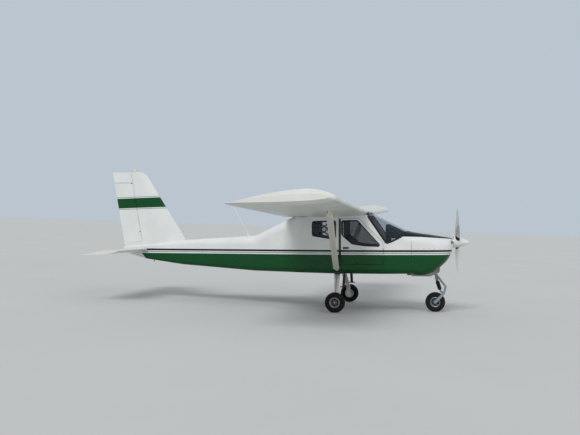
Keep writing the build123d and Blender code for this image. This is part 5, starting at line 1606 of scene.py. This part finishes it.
    def grips(self) -> None:
        """Grip strips on the boarding steps."""
        strips = []
        for side, _ in SIDES:
            for k in range(-3, 4):
                x, (inner, outer) = self.step_x + self.grip_pitch * k, self.grip_y
                xs = (x - self.grip_half, x + self.grip_half)
                strips.append(block(xs, (side * inner, side * outer), self.grip_z, self.grip_taper))
        piece("step_grips", joined(strips), SEAL_RUBBER, "tyre_rubber")

    def build(self) -> None:
        """Make the small fittings."""
        self.cuffs()
        self.step_legs()
        self.shock()
        self.leaves()
        self.aerial()
        self.grips()


# Instruments
class Hand(Enum):
    """What a dial's pointer shows, in turns from the top."""

    LOW = 0.62
    LEVEL = 0.0
    MIDDLE = 0.2


@dataclass(frozen=True)
class Dial:
    """One instrument: its place on the panel, its size and its pointer."""

    y: float
    z: float
    radius: float
    hand: Hand = Hand.LOW

    def parts(self, face_x: float) -> tuple[MeshData, MeshData, MeshData]:
        """The dial's bezel, face and pointer.

        Args:
            face_x: the station of the panel's face.

        Returns:
            The three shapes.
        """
        spot, r = at(face_x, self.y, self.z), self.radius
        rim = [(0.0, 0.86), (0.0, 1.0), (0.006, 1.0), (0.008, 0.95), (0.008, 0.88), (0.003, 0.86)]
        bezel = lathe([(along, r * share) for along, share in rim], spot, -FORWARD, 40)
        glass = lathe([(0.0, 0.0), (0.0, r * 0.87), (0.0026, r * 0.87), (0.0030, 0.0)], spot, -FORWARD, 40)
        turn = 2 * math.pi * self.hand.value
        tip = UPWARD * math.cos(turn) + LEFT * math.sin(turn)
        wide = tip.cross(FORWARD) * 0.0022
        base = spot - FORWARD * 0.0036
        corners = [base - wide - tip * r * 0.2, base + wide - tip * r * 0.2, base + tip * r * 0.7]
        return bezel, glass, (corners + [c - FORWARD * 0.0010 for c in corners], wall_faces(2, 3))


@dataclass
class Cockpit:
    """Dials, radio rack, switches, levers and carpet."""

    face_x: float = 0.786
    flight_y: tuple[float, ...] = (0.36, 0.25, 0.14)
    # each row of flight instruments: its height and its pointers from left to right
    flight_rows: tuple[tuple[float, tuple[Hand, ...]], ...] = (
        (1.315, (Hand.LOW, Hand.LEVEL, Hand.MIDDLE)), (1.215, (Hand.LEVEL, Hand.LOW, Hand.LOW)))
    flight_radius: float = 0.040
    gauge_y: float = -0.12
    gauge_pitch: float = 0.075
    gauge_z: Point2 = (1.325, 1.255)
    gauge_radius: float = 0.026
    # how far the marks stand out of the panel, and their circle, size and height against the dial's radius
    mark_out: float = 0.0034
    mark_circle: float = 0.74
    mark_size: float = 0.09
    mark_height: float = 0.0008
    # each radio's foot and height, and the y limits of its box and of its window
    radios: Line = ((1.300, 0.052), (1.238, 0.044), (1.186, 0.036))
    radio_y: Point2 = (-0.055, 0.075)
    window_y: Point2 = (-0.020, 0.045)
    radio_knob_y: Point2 = (-0.040, 0.062)
    radio_knob: Line = ((0.0, 0.0), (0.0, 0.009), (0.012, 0.0075), (0.013, 0.0))
    switch: Line = (
        (0.0, 0.0), (0.0, 0.008), (0.003, 0.008), (0.004, 0.003), (0.018, 0.002), (0.018, 0.0))
    switch_y: float = 0.36
    switch_pitch: float = 0.03
    switch_z: float = 1.120
    switch_count: int = 8
    lever: Line = (
        (0.0, 0.0), (0.0, 0.004), (0.030, 0.004), (0.034, 0.013), (0.046, 0.014), (0.052, 0.009),
        (0.053, 0.0))
    lever_y: tuple[float, ...] = (-0.02, 0.03, -0.36)
    lever_z: float = 1.06
    carpet_x: Point2 = (-0.74, 1.14)
    carpet_y: Point2 = (-0.448, 0.448)
    carpet_z: Point2 = (0.6145, 0.620)

    def dials(self) -> list[Dial]:
        """Six flight instruments on the left and eight engine gauges on the right."""
        flight = [Dial(y, z, self.flight_radius, hand) for z, hands in self.flight_rows
                  for y, hand in zip(self.flight_y, hands)]
        gauges = [Dial(self.gauge_y - self.gauge_pitch * k, z, self.gauge_radius) for z in self.gauge_z
                  for k in range(4)]
        return flight + gauges

    def panel(self, shop: Workshop) -> None:
        """Every dial with its marks."""
        dials = self.dials()
        bezels, faces, hands = zip(*(dial.parts(self.face_x) for dial in dials))
        piece("dial_bezels", joined(bezels), TRIM_PLASTIC, "panel_black")
        piece("dial_faces", joined(faces), DIAL_GLASS, "panel_black")
        piece("dial_hands", joined(hands), DIAL_WHITE, "painted_shell")
        for index, dial in enumerate(dials):
            circle, size = dial.radius * self.mark_circle, dial.radius * self.mark_size
            marks = HeadCircle(12, circle, size, self.mark_height, sides=4, width=0.3)
            inputs = marks.inputs(at(self.face_x - self.mark_out, dial.y, dial.z), -FORWARD)
            shop.run(shop.circle, f"dial_marks_{index}", DIAL_WHITE, "painted_shell", "airframe", inputs)

    def rack(self) -> None:
        """Radio rack, switch row and the levers on the lower panel."""
        x = self.face_x
        boxes, windows, knobs = [], [], []
        for low, height in self.radios:
            top, face = low + height, x - 0.012
            boxes.append(block((face, x + 0.002), self.radio_y, (low, top), 0.003))
            windows.append(block((x - 0.0132, x - 0.010), self.window_y, (low + 0.008, top - 0.012), 0.0005))
            spots = [at(face, y, low + height / 2) for y in self.radio_knob_y]
            knobs += [lathe(self.radio_knob, spot, -FORWARD, 20) for spot in spots]
        for k in range(self.switch_count):
            place = at(x, self.switch_y - self.switch_pitch * k, self.switch_z)
            knobs.append(lathe(self.switch, place, -FORWARD * 0.9 + UPWARD * 0.3, 14))
        knobs += [lathe(self.lever, at(x, y, self.lever_z), -FORWARD, 24) for y in self.lever_y]
        piece("radio_boxes", joined(boxes), TRIM_PLASTIC, "panel_black", bevel=0.001)
        piece("radio_windows", joined(windows), DIAL_GLASS, "panel_black")
        piece("panel_knobs", joined(knobs), BLACK_STEEL, "panel_black")

    def floor(self) -> None:
        """The carpet over the cabin floor."""
        piece("floor_carpet", block(self.carpet_x, self.carpet_y, self.carpet_z, 0.002), CARPET, "seat_cloth")

    def build(self, shop: Workshop) -> None:
        """Make the cockpit's fittings."""
        self.panel(shop)
        self.rack()
        self.floor()


# Seats
@dataclass
class Pad:
    """One cushion: a rounded slab in the seat's own axes, swelled by simulated air pressure."""

    name: str
    origin: Vector
    along: Vector
    up: Vector
    length: float
    width: float
    thickness: float
    steps: int = 24
    pull: float = 0.018
    # the rim's share of the thickness, and how square and how full the face is
    rim: float = 0.35
    square: float = 6
    full: float = 0.4
    voxel: float = 0.007
    pressure: float = 4.0
    stiffness: float = 12.0
    frames: int = 20
    cap: float = 0.014
    piping_steps: int = 96
    piping_square: float = 0.28
    piping_radius: float = 0.0036

    def place(self, u: float, v: float, up: float) -> Vector:
        """A point from its shares of the half length and half width, and its height."""
        across = self.up.cross(self.along).normalized()
        return self.origin + self.along * (u * self.length / 2) + across * (v * self.width / 2) + self.up * up

    def shell(self) -> MeshData:
        """The cut shape: sides pulled in between the corners, edges rounded, face slightly crowned."""
        points, faces = [], []
        shares = [2 * i / self.steps - 1 for i in range(self.steps + 1)]
        for face in (1, -1):
            for u in shares:
                for v in shares:
                    pulled_u = u * (1 - self.pull / self.length * 2 * (1 - v * v))
                    pulled_v = v * (1 - self.pull / self.width * 2 * (1 - u * u))
                    edge = (1 - abs(u) ** self.square) * (1 - abs(v) ** self.square)
                    lift = self.thickness / 2 * (self.rim + (1 - self.rim) * edge ** self.full)
                    points.append(self.place(pulled_u, pulled_v, face * lift))
        n, row = self.steps, self.steps + 1
        size = row * row
        for i in range(n):
            for j in range(n):
                a = i * row + j
                faces.append([a, a + row, a + row + 1, a + 1])
                faces.append([size + a + 1, size + a + row + 1, size + a + row, size + a])
        rim = [i * row for i in range(n)] + [n * row + j for j in range(n)]
        rim += [i * row + n for i in range(n, 0, -1)] + list(range(n, 0, -1))
        faces += [[a, size + a, size + b, b] for a, b in zip(rim, [*rim[1:], rim[0]])]
        return points, faces

    def swell(self) -> MeshData:
        """Run the cloth simulation and give back the swelled surface."""
        name = self.name + "_cut"
        cut = new_object(name, outward_mesh(name, self.shell()))
        remesh = cut.modifiers.new("voxels", "REMESH")
        remesh.mode, remesh.voxel_size = "VOXEL", self.voxel
        cut = settle(cut)
        before = [v.co.copy() for v in cut.data.vertices]
        cloth = cut.modifiers.new("cloth", "CLOTH")
        cloth.settings.quality = 4
        cloth.settings.use_pressure = True
        cloth.settings.uniform_pressure_force = self.pressure
        cloth.settings.effector_weights.gravity = 0.0
        cloth.settings.tension_stiffness = self.stiffness
        cloth.settings.compression_stiffness = self.stiffness
        cloth.point_cache.frame_start, cloth.point_cache.frame_end = 1, self.frames
        for step in range(1, self.frames + 1):
            bpy.context.scene.frame_set(step)
        cut = settle(cut)
        bpy.context.scene.frame_set(1)
        after = []
        for start, vertex in zip(before, cut.data.vertices):
            move = vertex.co - start
            if move.length > self.cap:
                move = move.normalized() * self.cap
            after.append(start + move)
        surface = (after, [list(p.vertices) for p in cut.data.polygons])
        bpy.data.objects.remove(cut)
        return surface

    def piping(self, surface: MeshData) -> MeshData:
        """The sewn cord round the pad's edge, laid on the swelled surface.

        Args:
            surface: the swelled surface's points and faces.

        Returns:
            The cord's points and faces.
        """
        finder = BVHTree.FromPolygons(*surface)
        places, outs = [], []
        for k in range(self.piping_steps):
            turn = 2 * math.pi * k / self.piping_steps
            u, v = (math.copysign(abs(c) ** self.piping_square, c) for c in (math.cos(turn), math.sin(turn)))
            # from outside the edge, a little over the middle plane
            start = self.place(u * 1.25, v * 1.25, self.thickness * 0.30)
            places.append(finder.find_nearest(start)[0])
            outs.append((self.place(u, v, 0.0) - self.origin).normalized())
        return sweep(places, outs, ring(self.piping_radius, 8), closed=True)


@dataclass
class Seats:
    """Two seats: cushions, backs, tube frames and harnesses, in place of the plain solid."""

    centre_y: float = 0.261
    width: float = 0.420
    # the seat's front, hinge and top, as x and z
    knee: Point2 = (0.44, 0.800)
    hip: Point2 = (0.060, 0.796)
    head: Point2 = (-0.130, 1.290)
    cushion_at: Point2 = (0.205, 0.758)
    cushion: Point2 = (0.415, 0.074)
    back_at: Point2 = (-0.092, 1.040)
    back: Point2 = (0.480, 0.070)
    back_narrower: float = 0.010
    tube_radius: float = 0.009
    frame_y: Point2 = (0.076, 0.446)
    # the frame's side, its rear foot and its cross tubes, as x and z
    frame_side: Line = (
        (0.400, 0.622), (0.410, 0.690), (0.380, 0.714), (0.060, 0.704), (-0.050, 0.720), (-0.110, 0.880),
        (-0.200, 1.220))
    frame_foot: Line = ((0.000, 0.622), (-0.010, 0.700))
    frame_cross: Line = ((0.385, 0.712), (0.060, 0.704), (-0.110, 0.880), (-0.200, 1.220))
    belt: Line = ((-0.022, 0.0), (0.022, 0.0), (0.022, 0.0022), (-0.022, 0.0022))
    buckle_y: float = 0.262
    shoulder_y: Point2 = (0.175, 0.347)
    # a shoulder strap's points as x, z, the share of the way to the buckle's y, and its outward lean
    # as forward and upward
    shoulder: tuple[tuple[float, float, float, Point2], ...] = (
        (-0.560, 1.420, 0.0, (0, 1)), (-0.300, 1.345, 0.0, (0, 1)), (-0.180, 1.315, 0.0, (0, 1)),
        (-0.110, 1.306, 0.0, (1, 1)), (-0.068, 1.270, 0.0, (1, 0.5)), (-0.020, 1.160, 0.2, (1, 0)),
        (0.034, 1.000, 0.55, (1, 0)), (0.082, 0.880, 0.85, (1, 0.5)), (0.118, 0.836, 0.96, (0.5, 1)),
        (0.160, 0.828, 1.0, (0, 1)))
    lap_y: Point2 = (0.060, 0.462)
    # a lap strap's points as x, z, the share of the way to the buckle's y, and its outward lean as
    # sideways and upward
    lap: tuple[tuple[float, float, float, Point2], ...] = (
        (0.020, 0.720, 0.0, (1, 0)), (0.060, 0.800, 0.0, (1, 1)), (0.100, 0.836, 0.2, (0, 1)),
        (0.140, 0.832, 0.55, (0, 1)), (0.165, 0.829, 1.0, (0, 1)))
    buckle: tuple[Point2, Point2, Point2] = ((0.135, 0.190), (0.232, 0.292), (0.829, 0.843))

    def pads(self) -> tuple[Pad, Pad]:
        """The left seat's cushion and back."""
        knee, hip, head = (at(x, 0, z) for x, z in (self.knee, self.hip, self.head))
        tilt = (head - hip).normalized()
        ahead = (FORWARD - tilt * FORWARD.dot(tilt)).normalized()
        (x0, z0), (x1, z1) = self.cushion_at, self.back_at
        (length, depth), (tall, thick) = self.cushion, self.back
        y, wide, narrow = self.centre_y, self.width, self.width - self.back_narrower
        seat = Pad("cushion", at(x0, y, z0), (knee - hip).normalized(), UPWARD, length, wide, depth)
        rest = Pad("back", at(x1, y, z1), tilt, ahead, tall, narrow, thick)
        return seat, rest

    def soft(self) -> None:
        """The padded pieces of both seats."""
        for pad in self.pads():
            surface = pad.swell()
            cord = pad.piping(surface)
            for side, label in SIDES:
                skin, seam = (surface, cord) if side > 0 else (flipped(surface), flipped(cord))
                made = piece(f"seat_{pad.name}_{label}", skin, SEAT_CLOTH, "seat_cloth", smooth=180.0)
                finer = made.modifiers.new("finer", "SUBSURF")
                finer.levels = finer.render_levels = 1
                piece(f"seat_{pad.name}_piping_{label}", seam, BELT_WEB, "seat_cloth")
        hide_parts("seats")

    def frames(self) -> None:
        """Bent tube side frames with their cross tubes."""
        parts = []
        profile = ring(self.tube_radius)
        for y in self.frame_y:
            for line in (self.frame_side, self.frame_foot):
                parts.append(tube([at(x, y, z) for x, z in line], LEFT, profile))
        parts += [tube([at(x, y, z) for y in self.frame_y], FORWARD, profile) for x, z in self.frame_cross]
        piece("seat_frames", pair(joined(parts)), BLACK_STEEL, "black_steel")

    def harness(self) -> None:
        """Shoulder and lap straps with their buckles."""
        straps = []
        for ys, line in ((self.shoulder_y, self.shoulder), (self.lap_y, self.lap)):
            for y in ys:
                sideways = LEFT if y > self.buckle_y else -LEFT
                lean = FORWARD if line is self.shoulder else sideways
                path = [at(x, y + (self.buckle_y - y) * share, z) for x, z, share, _ in line]
                straps.append(sweep(path, [lean * a + UPWARD * b for _, _, _, (a, b) in line], self.belt))
        piece("harness_straps", pair(joined(straps)), BELT_WEB, "seat_cloth")
        piece("harness_buckles", pair(block(*self.buckle, 0.004)), ZINC_STEEL, "hinge_steel", bevel=0.002)

    def build(self) -> None:
        """Make both seats."""
        self.soft()
        self.frames()
        self.harness()


# Studio
@dataclass
class Studio:
    """Plain floor, soft light and the camera at the photograph's place."""

    eye: Point3 = (2.910, -14.045, 1.464)
    yaw: float = math.radians(11.22)
    pitch: float = math.radians(0.186)
    roll: float = math.radians(1.857)
    focal_px: float = 818.842
    width_px: float = 580.0
    sensor: float = 36.0
    # each lamp's name, strength, angle in degrees and direction
    lamps: tuple[tuple[str, float, float, Point3], ...] = (
        ("key", 1.5, 25.0, (0.15, 0.75, -0.75)), ("fill", 0.5, 60.0, (-0.8, 0.3, -0.35)))
    sky_light: float = 0.55
    backdrop: str = "BAC5D0"
    floor_x: Point2 = (-90.0, 90.0)
    floor_y: Point2 = (-60.0, 160.0)

    def camera(self) -> None:
        """Set the camera from the photograph's solved view."""
        flat = math.cos(self.pitch)
        ahead = Vector((-math.sin(self.yaw) * flat, math.cos(self.yaw) * flat, math.sin(self.pitch)))
        right = Vector((math.cos(self.yaw), math.sin(self.yaw), 0.0))
        up = right.cross(ahead)
        turned = right * math.cos(self.roll) + up * math.sin(self.roll)
        raised = -right * math.sin(self.roll) + up * math.cos(self.roll)
        data = bpy.data.cameras.new("camera")
        data.sensor_width = self.sensor
        data.lens = self.focal_px / self.width_px * self.sensor
        data.clip_end = 500.0
        made = new_object("camera", data)
        basis = Matrix((turned, raised, -ahead)).transposed().to_4x4()
        made.matrix_world = Matrix.Translation(self.eye) @ basis
        bpy.context.scene.camera = made

    def light(self) -> None:
        """One broad sun with a weak fill, and a plain world that is brighter to see than its light."""
        for name, strength, angle, aim in self.lamps:
            data = bpy.data.lights.new(name, "SUN")
            data.energy, data.angle = strength, math.radians(angle)
            lamp = new_object(name, data)
            lamp.rotation_mode = "QUATERNION"
            lamp.rotation_quaternion = Vector(aim).to_track_quat("-Z", "Y")
        world = bpy.data.worlds.new("studio")
        bpy.context.scene.world = world
        world.use_nodes = True
        net = Net(world.node_tree, "ShaderNode")
        net.tree.nodes.clear()
        rays = net.add("LightPath").outputs
        seen = rays["Is Camera Ray"]
        for kind in ("Is Glossy Ray", "Is Transmission Ray"):
            seen = net.add("Math", {0: seen, 1: rays[kind]}, operation="MAXIMUM")
        soft = net.add("Background", {"Color": linear("FFFFFF"), "Strength": self.sky_light})
        plain = net.add("Background", {"Color": linear(self.backdrop), "Strength": 1.0})
        net.add("OutputWorld", {0: net.add("MixShader", {0: seen, 1: soft, 2: plain})})

    def floor(self) -> None:
        """A plain pale floor."""
        (x0, x1), (y0, y1) = self.floor_x, self.floor_y
        mesh = bpy.data.meshes.new("floor")
        mesh.from_pydata([(x0, y0, 0), (x1, y0, 0), (x1, y1, 0), (x0, y1, 0)], [], [[0, 1, 2, 3]])
        mesh.materials.append(material(FLOOR_COAT))
        new_object("floor", mesh)

    def build(self) -> None:
        """Set everything that isn't the aeroplane."""
        bpy.context.scene.view_settings.view_transform = "Standard"
        self.camera()
        self.light()
        self.floor()


# The tyres' middles, each as high as its tyre's radius
MAIN_AXLE = (AXLE_X, 0.9625, 0.163)
NOSE_AXLE = (2.668855, 0.0, 0.165)


def main() -> None:
    """Dress the aeroplane, fit its small pieces and set the studio."""
    Studio().build()
    Airframe().dress()
    shop = Workshop()
    x, y, z = MAIN_AXLE
    for side, label in SIDES:
        centre = Vector((x, side * y, z))
        Wheel(f"main_{label}", f"main_wheel_{label}", f"main_tyre_{label}", centre, (side,)).build(shop)
    Wheel("nose", "nose_wheel", "nose_tyre", Vector(NOSE_AXLE), (1, -1)).build(shop)
    Glazing().build()
    for side, label in SIDES:
        DoorTrim(side, label).build()
    CowlTrim().build(shop)
    PropellerTrim().build()
    SkinDetail().build(shop)
    Fittings().build()
    Cockpit().build(shop)
    Seats().build()


if __name__ == "__main__":
    main()
